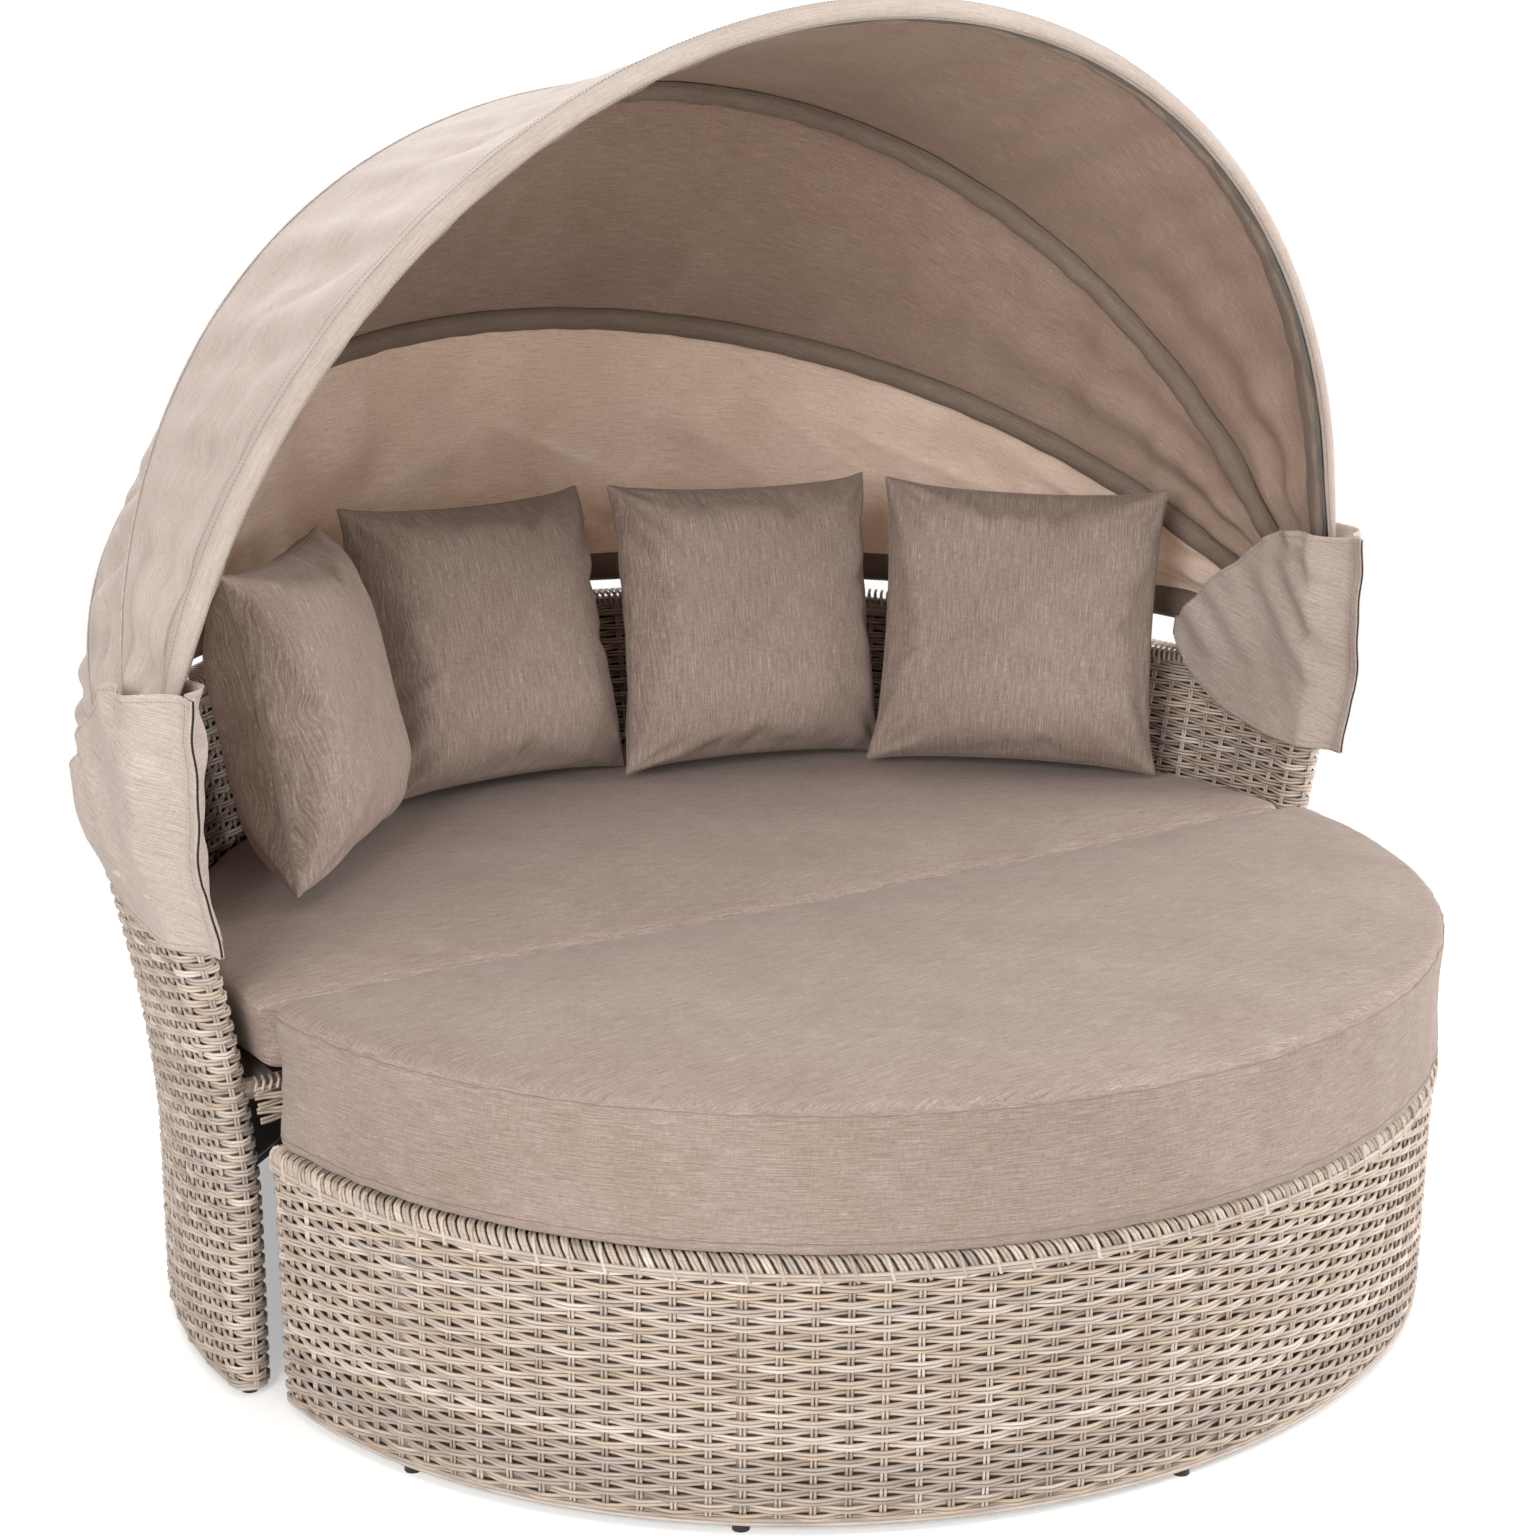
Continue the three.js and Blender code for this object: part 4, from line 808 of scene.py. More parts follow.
def skirt_point(phase, z, inset):
    at = np.mod(phase / SKIRT_STAKES * SKIRT_SAMPLES, SKIRT_SAMPLES)
    places = np.arange(SKIRT_SAMPLES + 1)
    floor, rim, normal = (loop_at(line, at, places) for line in (skirt_at_floor, skirt_at_rim, skirt_normal))
    flat = mix(floor, rim, np.clip(z / RIM_TOP, 0, 1)[:, None]) - normal * np.asarray(inset)[:, None]
    return np.concatenate([flat, z[:, None]], -1)


def skirt_ring(steps_per_stake, z, inset):
    phase = np.arange(SKIRT_STAKES * steps_per_stake) / steps_per_stake
    zero = np.zeros(len(phase))
    return skirt_point(phase, zero + z, zero + inset)


def skirt_place(phase, share, out, rise):
    return skirt_point(phase, mix(SKIRT_WEAVE_BOTTOM, SKIRT_WEAVE_TOP, share) + rise, WEAVE_INSET - out)


def build_ottoman_weave():
    half = SKIRT_ROWS // 2
    for number, rows in enumerate((range(0, half), range(half, SKIRT_ROWS)), 1):
        lines = woven_rows(skirt_place, rows, SKIRT_ROWS, 0, SKIRT_STAKES, True)
        piece = strands(f"ottoman_weave_{number}", lines, "ottoman")
        if number == 1:
            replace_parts(piece, "ottoman_wicker")
    lines = standing_stakes(skirt_place, range(SKIRT_STAKES), 0, 7)
    strands("ottoman_stakes", lines, "ottoman", STAKE_RADIUS, 4)
    edge = [
        (skirt_ring(3, SKIRT_BOTTOM + rise, SKIRT_EDGE_INSET), True, border_tint(rise, 0.4))
        for rise in SKIRT_EDGE_RISES
    ]
    strands("ottoman_bottom_edge", edge, "ottoman", BORDER_RADIUS, 6)


def ottoman_lining():
    """A thin dark skin behind the skirt's weave, painted shade for the dark hollow inside the skirt."""
    outer = [skirt_ring(2, z, SKIRT_LINING_INSET) for z in SKIRT_LINING_LEVELS]
    inner = [skirt_ring(2, z, SKIRT_LINING_INSET + SKIRT_LINING) for z in SKIRT_LINING_LEVELS[::-1]]
    rings = np.stack(outer + inner)
    faces = ring_faces(*rings.shape[:2], joined=True)
    carry(make_piece("ottoman_skirt_painted_shade_lining", rings.reshape(-1, 3), faces, [PAINTED_SHADE_LINER]), "ottoman")


def build_ottoman_rim():
    """Leaning strands over the rim, two border strands below them, and a hook at each stake."""
    section = np.array(SKIRT_RIM)
    section[:, 0] += STRAND_RADIUS
    lean = np.linspace(-SKIRT_WRAP_LEAN, SKIRT_WRAP_LEAN, len(section))
    count = SKIRT_STAKES * 3
    lines = []
    for i in range(count):
        tone = random.random()
        for twin in (-SKIRT_WRAP_TWIN, SKIRT_WRAP_TWIN):
            phase = SKIRT_STAKES * (i + 0.5) / count + lean + twin
            lines.append((skirt_point(phase, section[:, 1], section[:, 0]), False, tone))
    hook = section[:5] - HOOK_SHIFT
    hook = np.concatenate([[hook[0] - [0, HOOK_TAIL]], hook])
    for i in range(SKIRT_STAKES):
        phase = i + np.linspace(*HOOK_LEAN, len(hook))
        lines.append((skirt_point(phase, hook[:, 1], hook[:, 0]), False, random.random()))
    for z in SKIRT_BORDERS:
        lines.append((skirt_ring(3, z, SKIRT_BORDER_INSET), True, random.random()))
    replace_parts(strands("ottoman_rim_wrap", lines, "ottoman", SKIRT_WRAP_RADIUS, 5), "ottoman_rim")


# Sofa's apron
APRON_FRONT = SPLIT_Y + 0.024
APRON_BOTTOM = 0.331
APRON_TOP = 0.3887
APRON_SIDE_GAP = 0.001
APRON_ROWS = 5
APRON_ROWS_BOTTOM = APRON_BOTTOM + 0.004
APRON_ROWS_TOP = APRON_TOP - 0.008
APRON_WEAVE_INSET = 0.0065
# The rim's section as depth and height, measured from the apron's front and top
APRON_RIM = [(0.003, -0.012), (0.0024, -0.004), (0.006, -0.0024), (0.013, -0.0023), (0.021, -0.0023)]
APRON_RIM_LEAN = 0.004


def apron_reach(z):
    """The apron fills the width between the two arms, which flare apart as they rise."""
    return wall_radius(z) - 2 * WALL_HALF - APRON_SIDE_GAP


APRON_STAKES = int(2 * apron_reach(APRON_BOTTOM) / STAKE_PITCH)


def apron_place(phase, share, out, rise):
    z = mix(APRON_ROWS_BOTTOM, APRON_ROWS_TOP, share) + rise
    x = apron_reach(z) * np.clip(2 * phase / (APRON_STAKES + 1) - 1, -1, 1)
    return np.stack([x, APRON_FRONT + APRON_WEAVE_INSET - out, z], -1)


def build_apron():
    lines = woven_rows(apron_place, range(APRON_ROWS), APRON_ROWS, 0, APRON_STAKES + 1, False)
    lines += standing_stakes(apron_place, range(1, APRON_STAKES + 1), 0, 4)
    reach = float(apron_reach(APRON_TOP))
    count = int(2 * reach / ROW_PITCH)
    section = np.array(APRON_RIM)
    lean = np.linspace(-APRON_RIM_LEAN, APRON_RIM_LEAN, len(section))
    for i in range(count):
        x = lean - reach + 2 * reach * (i + 0.5) / count
        line = np.stack([x, APRON_FRONT + section[:, 0], APRON_TOP + section[:, 1]], -1)
        lines.append((line, False, random.random()))
    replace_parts(strands("apron_weave", lines, "sofa", STRAND_RADIUS, 5), "sofa_apron")


# Cushions. A section is (inset, height): lower edge, band by share of the height, upper edge from the top
CUSHION_LOWER = [(0.016, 0.000), (0.006, 0.002), (0.001, 0.008), (0.002, 0.020)]
CUSHION_BAND = [(0.005, 0.35), (0.005, 0.65)]
CUSHION_UPPER = [(0.002, -0.020), (0.001, -0.008), (0.006, -0.001), (0.016, 0.002)]
# The crowned top as share of the outline and share of the crown
CUSHION_TOP = [(0.93, 0.25), (0.84, 0.5), (0.72, 0.7), (0.58, 0.84), (0.4, 0.95), (0.2, 0.99)]
CROWN = 0.012
CUSHION_START = 0.004
CUSHION_VOXEL = 0.011
CUSHION_SWELL = 0.007
SEAM_RISE = 0.016
SEAM_DROP = 0.008
CUSHION_SEAM_RADIUS = 0.0006
CUSHION_SEAM_LIFT = 0.0002
# Waves round the band: how many, where they start, how deep
PUCKERS = [(47, 0.3, 0.5), (71, 1.9, 0.45), (109, 4.1, 0.35)]
PUCKER_DEPTH = 0.0013
TOP_WAVE = 0.0014


def lay_cushion_cloth(piece, centre_y, radius, chord_facing):
    """The slubs run along X on the top and the straight side, and round the edge elsewhere."""
    mesh = piece.data
    co = mesh_points(mesh)[corner_points(mesh)]
    sizes = read(mesh.polygons, "loop_total", kind=np.int32)
    normal = np.repeat(read(mesh.polygons, "normal", 3), sizes, axis=0)
    round_side = radius * np.arctan2(co[:, 1] - centre_y, co[:, 0])
    side_u = np.where(normal[:, 1] * chord_facing > 0.8, co[:, 0], round_side)
    on_top = np.abs(normal[:, 2]) > 0.6
    # The sides are cut from cloth three metres further along
    lay_uv(mesh, np.stack([np.where(on_top, co[:, 0], side_u), np.where(on_top, co[:, 1], co[:, 2] + 3)], -1))


def swell(piece, pressure, cap, frames, stiffness):
    """Air pressure blows a closed cover out, by no more than the cap."""
    before = mesh_points(piece.data)
    cloth = piece.modifiers.new("cloth", "CLOTH")
    settings = cloth.settings
    settings.quality = 5
    settings.mass = 0.3
    settings.use_pressure = True
    settings.uniform_pressure_force = pressure
    settings.tension_stiffness = settings.compression_stiffness = stiffness
    settings.bending_stiffness = 0.5
    settings.effector_weights.gravity = 0
    cloth.point_cache.frame_start = 1
    cloth.point_cache.frame_end = frames
    for number in range(1, frames + 1):
        scene.frame_set(number)
    swollen = piece.evaluated_get(bpy.context.evaluated_depsgraph_get())
    move = mesh_points(swollen.to_mesh()) - before
    swollen.to_mesh_clear()
    piece.modifiers.clear()
    scene.frame_set(1)
    length = np.linalg.norm(move, axis=1)[:, None]
    move *= np.minimum(1, cap / np.maximum(length, 1e-9))
    move_points(piece.data, before + move)


def refine(piece):
    finer = piece.modifiers.new("finer", "SUBSURF")
    finer.levels = finer.render_levels = 1
    mesh = applied(piece)
    mesh.shade_smooth()
    return mesh


def seam_on(piece, line, lift):
    """A line laid on a piece's surface."""
    tree = BVHTree.FromObject(piece, bpy.context.evaluated_depsgraph_get())
    laid = []
    for point in line:
        place, normal, _, _ = tree.find_nearest(Vector(point))
        laid.append(place + normal * lift)
    return np.array(laid)


def sewn_seam(name, paths, body, radius):
    lines = [(path, True, 0.5) for path in paths]
    strands(name + "_seam", lines, body, radius, 5, SEAM_THREAD)


def seat_shape(z):
    radius = float(wall_radius(z)) - 2 * WALL_HALF - CUSHION_GAP
    return radius, radius, SEAT_FRONT, WALL_Y - SEAT_FRONT, 1


def ottoman_cushion_shape(z):
    return OTTOMAN_CUSHION_HALF_WIDTH, OTTOMAN_CUSHION_DEPTH, OTTOMAN_BACK, 0, -1


def level_ring(outline, z):
    return np.concatenate([outline, np.full((len(outline), 1), z)], -1)


def boxed_cushion(name, shape, bottom, top, body):
    """A boxed cushion: a crowned top and a side band between two seams."""
    height = top - bottom
    levels = CUSHION_LOWER + [(inset, height * share) for inset, share in CUSHION_BAND]
    levels += [(inset, height + rise) for inset, rise in CUSHION_UPPER]
    half_width, depth, chord, straight, side = shape(top)
    middle = np.array([0, chord + side * (straight + depth * 0.46)])
    rings = []
    for inset, rise in levels:
        outline = half_round(*shape(bottom + rise), inset + CUSHION_START)
        rings.append(level_ring(outline, bottom + rise))
    edge = rings[-1][:, :2]
    for scale, rise in CUSHION_TOP:
        rings.append(level_ring(middle + (edge - middle) * scale, top + CROWN * rise))
    count = len(edge)
    faces = ring_faces(len(rings), count)
    faces += [np.arange(count)[::-1], np.arange(count) + (len(rings) - 1) * count]
    piece = make_piece(name, np.concatenate(rings), faces, [CUSHION_CLOTH])
    remesh = piece.modifiers.new("remesh", "REMESH")
    remesh.mode = "VOXEL"
    remesh.voxel_size = CUSHION_VOXEL
    remesh.use_smooth_shade = True
    applied(piece)
    swell(piece, pressure=4, cap=CUSHION_SWELL, frames=20, stiffness=15)
    refine(piece)
    rest_and_pucker(piece.data, bottom, top)
    lay_cushion_cloth(piece, WALL_Y if side > 0 else OTTOMAN_BACK, half_width, -side)
    carry(piece, body)
    levels = (bottom + SEAM_RISE, bottom + (height - SEAM_DROP))
    paths = [seam_on(piece, level_ring(half_round(*shape(z), 0), z), CUSHION_SEAM_LIFT) for z in levels]
    sewn_seam(name, paths, body, CUSHION_SEAM_RADIUS)
    return piece


def rest_and_pucker(mesh, bottom, top):
    """The underside lies flat, and the band is drawn in a little at uneven places along its seams."""
    co, normal = mesh_points(mesh), read(mesh.vertices, "normal", 3)
    co[:, 2] = np.maximum(co[:, 2], bottom)
    angle = np.arctan2(co[:, 1] - OTTOMAN_BACK, co[:, 0])
    band = smooth((0.75 - np.abs(normal[:, 2])) / 0.4)
    height = np.clip((co[:, 2] - bottom) / (top - bottom), 0, 1)
    ripple = np.zeros(len(co))
    for count, phase, depth in PUCKERS:
        ripple += depth * np.sin(count * angle + phase + 0.8 * np.sin(5 * angle))
    near_seam = 0.35 + 0.65 * (np.abs(2 * height - 1)) ** 2
    co += normal * (ripple * band * near_seam * PUCKER_DEPTH)[:, None]
    # The top dips and rises by a few millimetres, as loose wadding does
    top_face = smooth((normal[:, 2] - 0.7) / 0.25)
    x, y = co[:, 0], co[:, 1]
    wave = np.sin(5.1 * x + 1.3) * np.sin(6.3 * y - 0.4) + 0.6 * np.sin(11 * x - 7 * y)
    co[:, 2] += top_face * wave * TOP_WAVE
    move_points(mesh, co)


# Scatter cushions
PILLOW_SIZE = 0.420
PILLOW_THICKNESS = 0.150
PILLOW_EDGE = 0.001
PILLOW_DRAWN = 0.045
PILLOW_CELLS = 60
PILLOW_SWELL = 0.012
PILLOW_CREASE = 0.0012
PILLOW_FOLD = 0.0045
PILLOW_SAG = 0.010
PILLOW_SEAM_RADIUS = 0.0009
PILLOW_SEAM_LIFT = 0.0003
# Name, angle round the wall, share of its radius, rise as a share of the size, roll, lean and yaw
PILLOWS = [
    ("pillow_1", 143.39, 0.7640, 0.5310, 2, -12, 49),
    ("pillow_2", 102.69, 0.7398, 0.5238, 2, -17, 8),
    ("pillow_3", 64.18, 0.6786, 0.5286, 2, -12, -6),
    ("pillow_4", 26.73, 0.7722, 0.5134, 2, -14, -38),
]


def puffed_depth(u, v):
    puff_share = ((1 - u**4) * (1 - v**4)) ** 0.62 * (1 - 0.16 * (u * u + v * v))
    return (PILLOW_EDGE + PILLOW_THICKNESS * puff_share) / 2


def pillow_points():
    """Two square faces that share their border: front points, then the inner points of the back."""
    size = PILLOW_CELLS + 1
    steps = np.linspace(-1, 1, size)
    u, v = np.meshgrid(steps, steps, indexing="ij")
    half = PILLOW_SIZE / 2
    x = half * u * (1 - PILLOW_DRAWN * (1 - v * v) * u * u)
    z = half * v * (1 - PILLOW_DRAWN * (1 - u * u) * v * v)
    y = puffed_depth(u, v)
    front, back = (np.stack([x, sign * y, z], -1).reshape(-1, 3) for sign in (-1, 1))
    number = np.arange(size * size).reshape(size, size)
    inside = np.zeros((size, size), bool)
    inside[1:-1, 1:-1] = True
    back_number = number.copy()
    back_number[inside] = size * size + np.arange(inside.sum())
    faces = []
    for grid, turned in ((number, False), (back_number, True)):
        quads = np.stack([grid[:-1, :-1], grid[:-1, 1:], grid[1:, 1:], grid[1:, :-1]], -1).reshape(-1, 4)
        faces.append(quads[:, ::-1] if turned else quads)
    return np.concatenate([front, back[inside.ravel()]]), np.concatenate(faces)


def pillow_creases(u, v, local):
    """Slack cloth gathers in short creases that run in from the seam and the corners."""
    edge = np.maximum(np.abs(u), np.abs(v))
    crease = np.zeros(len(u))
    for _ in range(7):
        phase = local.uniform(0, 6.28)
        count = local.integers(9, 26)
        crease += np.sin(count * np.arctan2(v, u) + phase) * local.uniform(0.3, 1)
    crease *= PILLOW_CREASE * smooth((edge - 0.55) / 0.3) * smooth((1.0 - edge) / 0.07)
    # Folds fan out from each corner, where the cloth is pulled to a point
    for corner_u in (-1, 1):
        for corner_v in (-1, 1):
            from_corner = np.hypot(u - corner_u, v - corner_v)
            fan = np.arctan2(np.abs(v - corner_v) + 1e-6, np.abs(u - corner_u) + 1e-6)
            folds = np.sin(local.uniform(9, 15) * fan + local.uniform(0, 6.28))
            reach = local.uniform(0.5, 0.9)
            fading = np.exp(-((from_corner / reach) ** 2))
            crease += PILLOW_FOLD * folds * fading * smooth(from_corner / 0.22)
    sag = PILLOW_SAG * np.exp(-(((v + 0.55) / 0.3) ** 2)) * (1 - u * u)
    return crease + sag * smooth((1 - edge) / 0.3)


def build_pillow(name, around, radius_share, rise_share, roll, lean, yaw, seed):
    # The scatter cushions' paler cloth is painted light
    piece = make_piece(name + "_cover", *pillow_points(), [PILLOW_CLOTH_PAINTED_LIGHT])
    co = mesh_points(piece.data)
    u, v = co[:, 0] / (PILLOW_SIZE / 2), co[:, 2] / (PILLOW_SIZE / 2)
    co[:, 1] += np.sign(co[:, 1]) * pillow_creases(u, v, np.random.default_rng(seed))
    move_points(piece.data, co)
    swell(piece, pressure=3.0, cap=PILLOW_SWELL, frames=16, stiffness=8)
    mesh = refine(piece)
    co = mesh_points(mesh)
    lay_uv(mesh, np.stack([co[:, 2], co[:, 0] + np.sign(co[:, 1])], -1)[corner_points(mesh)])
    angle = math.radians(around)
    radius = WALL_FLOOR_RADIUS * radius_share
    height = SEAT_TOP + PILLOW_SIZE * rise_share
    place = Vector((radius * math.cos(angle), WALL_Y + radius * math.sin(angle), height))
    turn = (
        Euler((0, 0, math.radians(yaw))).to_matrix()
        @ Euler((math.radians(lean), 0, 0)).to_matrix()
        @ Euler((0, math.radians(roll), 0)).to_matrix()
    )
    turned = co @ np.array(turn).T + np.array(place)
    move_points(mesh, turned)
    carry(piece, "sofa")
    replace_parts(piece, name)
    border = grid_border(PILLOW_CELLS + 1, PILLOW_CELLS + 1)
    sewn_seam(name, [seam_on(piece, turned[border], PILLOW_SEAM_LIFT)], "sofa", PILLOW_SEAM_RADIUS)


# Canopy panels. Each lies between two bows, given here by the number of the front one
PANELS = [("canopy_front", 0), ("canopy_middle", 1), ("canopy_rear", 2)]
PANEL_START = 0.062
PANEL_DROP = 0.45
PANEL_SAG = 0.009
# Depths at the crown and beside the arms
FOLD_DEPTHS = (0.0030, 0.0080)
RIPPLE_DEPTHS = (0.0016, 0.0030)
PLEAT_DEPTH = 0.0095
FOLDS_GROW = 0.10
CREASE_COUNTS = (10, 9, 26)
CREASE_SLANTS = ((50, 110), (60, 115), (12, 48))
CREASE_ALONG = (0.10, 1.10)
CREASE_DOWN = (0.15, 0.9)
CREASE_LENGTHS = (0.10, 0.26)
CREASE_WIDTHS = (0.012, 0.024)
CREASE_DEPTHS = (0.003, 0.0065)

# The innermost bow's half width follows the middle of the arm's top
STACK_INNER = float(wall_radius(ARM_HEIGHT)) - WALL_HALF - STACK_INSET
FIRST_HALF_WIDTH = STACK_INNER + WASHER + 2 * STACK_GAP + BOW_END / 2


def bow_point(index, turn, outward, across):
    """A point beside a bow: along it by turn, outward in its plane, and square to the plane."""
    _, _, tilt, reach_share = BOWS[index]
    tilt = math.radians(tilt)
    reach = CANOPY_REACH * reach_share
    half_width = FIRST_HALF_WIDTH + index * STACK_PITCH
    run = np.stack([np.cos(turn) / half_width, np.sin(turn) / reach], -1)
    run /= np.linalg.norm(run, axis=-1)[..., None]
    along = reach * np.sin(turn) + outward * run[..., 1]
    x = half_width * np.cos(turn) + outward * run[..., 0]
    y = PIVOT_Y + along * math.cos(tilt) - across * math.sin(tilt)
    z = PIVOT_Z + along * math.sin(tilt) + across * math.cos(tilt)
    return np.stack([x, y, z], -1)


def arch_turns(count, start):
    """Even turns along a bow, from a distance above the pivot to the same distance on the other side."""
    first = math.asin(start / CANOPY_REACH)
    return np.linspace(first, math.pi - first, count)


def panel_folds(front, share, turn):
    """How far the slack of a panel hangs inward."""
    hang = np.sin(math.pi * share)
    sideways = np.abs(np.cos(turn))
    sag = PANEL_SAG * np.sin(turn)
    # Folds run across the panel from bow to bow, wander a little and deepen towards the arms
    wander = 0.9 * np.sin(2.3 * turn + front) + 0.5 * np.sin(5.9 * turn + 2 * share + 2 * front) + 0.8 * share
    uneven = 0.3 + 0.7 * np.sin(4.7 * turn + 1.3 * front) ** 2
    folds = np.sin(41 * turn + 3 * wander) * uneven * mix(*FOLD_DEPTHS, sideways)
    ripples = np.sin(79 * turn + 4 * wander + 2 * share) * (1.2 - uneven) * mix(*RIPPLE_DEPTHS, sideways)
    # Near the arms the cloth gathers into pleats that run up towards the pivot
    pleats = np.sin(2 * math.pi * (2.6 * share + 0.2 * np.sin(6 * turn + front)))
    gathered = pleats * PLEAT_DEPTH * sideways**4
    low = smooth((CANOPY_REACH * np.sin(turn) - PANEL_START) / FOLDS_GROW)
    slack = folds + ripples + gathered + panel_creases(front, share, turn)
    return (sag + slack * low) * hang**0.8


def panel_creases(front, share, turn):
    """Long single wrinkles: on the rear panel they slant up from where it is drawn to the rim."""
    local = np.random.default_rng(40 + front)
    along, down = CANOPY_REACH * (math.pi / 2 - turn), PANEL_DROP * share
    total = np.zeros(np.broadcast(along, down).shape)
    for _ in range(CREASE_COUNTS[front]):
        side = local.choice((-1, 1))
        centre_along = side * local.uniform(*CREASE_ALONG)
        centre_down = PANEL_DROP * local.uniform(*CREASE_DOWN)
        slant = side * math.radians(local.uniform(*CREASE_SLANTS[front]))
        length, width = local.uniform(*CREASE_LENGTHS), local.uniform(*CREASE_WIDTHS)
        a, d = along - centre_along, down - centre_down
        lengthways = a * math.cos(slant) + d * math.sin(slant)
        sideways = d * math.cos(slant) - a * math.sin(slant) + 0.25 * lengthways**2
        fading = np.exp(-((sideways / width) ** 2) - (lengthways / length) ** 2)
        total += local.uniform(*CREASE_DEPTHS) * fading
    return total


def panel_point(front, share, turn, lift):
    ahead = bow_point(front, turn, lift, 0)
    behind = bow_point(front + 1, turn, lift, 0)
    point = mix(ahead, behind, share[..., None])
    inward = np.array([0, PIVOT_Y, PIVOT_Z]) - point
    inward /= np.linalg.norm(inward, axis=-1)[..., None]
    return point + inward * panel_folds(front, share, turn)[..., None]


def follow_share(piece, shares):
    """Each point of a panel turns with its own share of the angle between its two bows."""
    layer = piece.data.attributes["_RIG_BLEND"]
    layer.data.foreach_set("value", shares.astype(np.float32))


def build_panel(name, front):
    turns = arch_turns(331, PANEL_START)
    share, turn = np.meshgrid(np.linspace(0, 1, 43), turns, indexing="ij")
    outer = panel_point(front, share, turn, CLOTH_LIFT + CLOTH)
    inner = panel_point(front, share, turn, CLOTH_LIFT)
    along = arc_length(outer[0])
    width = np.max(np.linalg.norm(np.diff(outer, axis=0), axis=-1).sum(0))
    # Each panel is cut from its own two metres of cloth
    uv = np.stack([np.broadcast_to(along, share.shape), share * width + 2 * front], -1)
    # The inner faces are painted: shade on the front and middle panels, light on the rear one
    inside = REAR_INSIDE_PAINTED_LIGHT if name == "canopy_rear" else CANOPY_INSIDE_PAINTED_SHADE
    piece = sheet_piece(name + "_cloth", outer, inner, uv, [CANOPY_CLOTH, inside])
    behind, ahead = BOWS[front + 1], BOWS[front]
    crown = np.array(math.pi / 2)
    start = bow_point(front + 1, crown, CLOTH_LIFT, 0)
    end = bow_point(front, crown, CLOTH_LIFT, 0)
    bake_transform(piece, behind[1], ahead[1], start=tuple(start), end=tuple(end))
    follow_share(piece, np.concatenate([1 - share.ravel()] * 2))
    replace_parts(piece, name)
    flat = (round(float(along[-1]), 2) + 0.01, round(float(width), 2) + 0.01)
    return piece, flat, sheet_area(outer)


# Pockets that hold the bows, with narrow ends at the pivots
WIDENING_START = 0.10
WIDENING = 0.16
POCKET_START = 0.115
POCKET_SECTIONS = 210
POCKET_STEPS = 15
POCKET_HALF = 0.0165
POCKET_END_HALF = 0.013
POCKET_DEPTH = 0.0125
POCKET_END_DEPTH = 0.0045
POCKET_PUCKERS = (0.0012, 0.0009)
POCKET_UNDER = 0.0006
# How far each bow's pocket reaches behind and ahead of it, as shares of its usual half width
POCKET_SIDES = [(1.9, 0.4), (1, 1), (1, 1), (0.9, 1.7)]
BOW_SEAM_START = PANEL_START + 0.03
BOW_SEAM_RADIUS = 0.0011
BOW_SEAM_LIFT = 0.0004


def widened(turn):
    """0 at a bow's narrow ends and 1 where its tape has its full width."""
    return smooth((CANOPY_REACH * math.sin(turn) - WIDENING_START) / WIDENING)


def pocket_ring(index, turn, lift):
    """One section of a pocket, from the edge sewn to one panel, round the tube, to the other edge."""
    full = widened(turn)
    half = mix(POCKET_END_HALF, POCKET_HALF, full)
    behind_half, ahead_half = (half * share for share in POCKET_SIDES[index])
    pucker = POCKET_PUCKERS[0] * math.sin(61 * turn + index) + POCKET_PUCKERS[1] * math.sin(97 * turn)
    reach = mix(-POCKET_END_DEPTH, -POCKET_DEPTH, full) - pucker
    step = np.linspace(0, 1, POCKET_STEPS)
    swing = -np.cos(math.pi * step)
    across = swing * np.where(swing > 0, ahead_half, behind_half)
    drop = np.sin(math.pi * step) ** 0.75
    level = CLOTH_LIFT - POCKET_UNDER
    ring = bow_point(index, np.full(POCKET_STEPS, turn), mix(level, reach, drop) - lift, across)
    # Each sewn edge lies on the inside of the panel it is sewn to
    for side, front, reached in ((0, index, behind_half), (-1, index - 1, ahead_half)):
        if not 0 <= front < len(PANELS):
            continue
        sides = [bow_point(bow, np.array(turn), level, 0) for bow in (front, front + 1)]
        edge_share = reached / np.linalg.norm(sides[1] - sides[0])
        share = np.array(edge_share if side == 0 else 1 - edge_share)
        wanted = panel_point(front, share, np.array(turn), level - lift)
        pull = (1 - drop) * (swing < 0 if side == 0 else swing > 0)
        ring = ring + pull[:, None] * (wanted - ring[side])
    return ring


def build_pocket(index):
    name, body, _, _ = BOWS[index]
    turns = arch_turns(POCKET_SECTIONS, POCKET_START)
    outer, inner = (np.stack([pocket_ring(index, turn, lift) for turn in turns]) for lift in (0, CLOTH))
    along = arc_length(outer[:, POCKET_STEPS // 2])
    width = arc_length(outer[POCKET_SECTIONS // 2])
    uv = np.stack(np.meshgrid(along, width, indexing="ij"), -1)
    # The pocket's inner faces take the darker tape, painted shade along each bow
    piece = sheet_piece(name + "_pocket", outer, inner, uv, [CANOPY_CLOTH, POCKET_TWILL_PAINTED_SHADE])
    carry(piece, body)
    lines = [(inner[:, column], False, 0.5) for column in (1, -2)]
    stitch = stitches(name + "_pocket_stitches", lines, body)


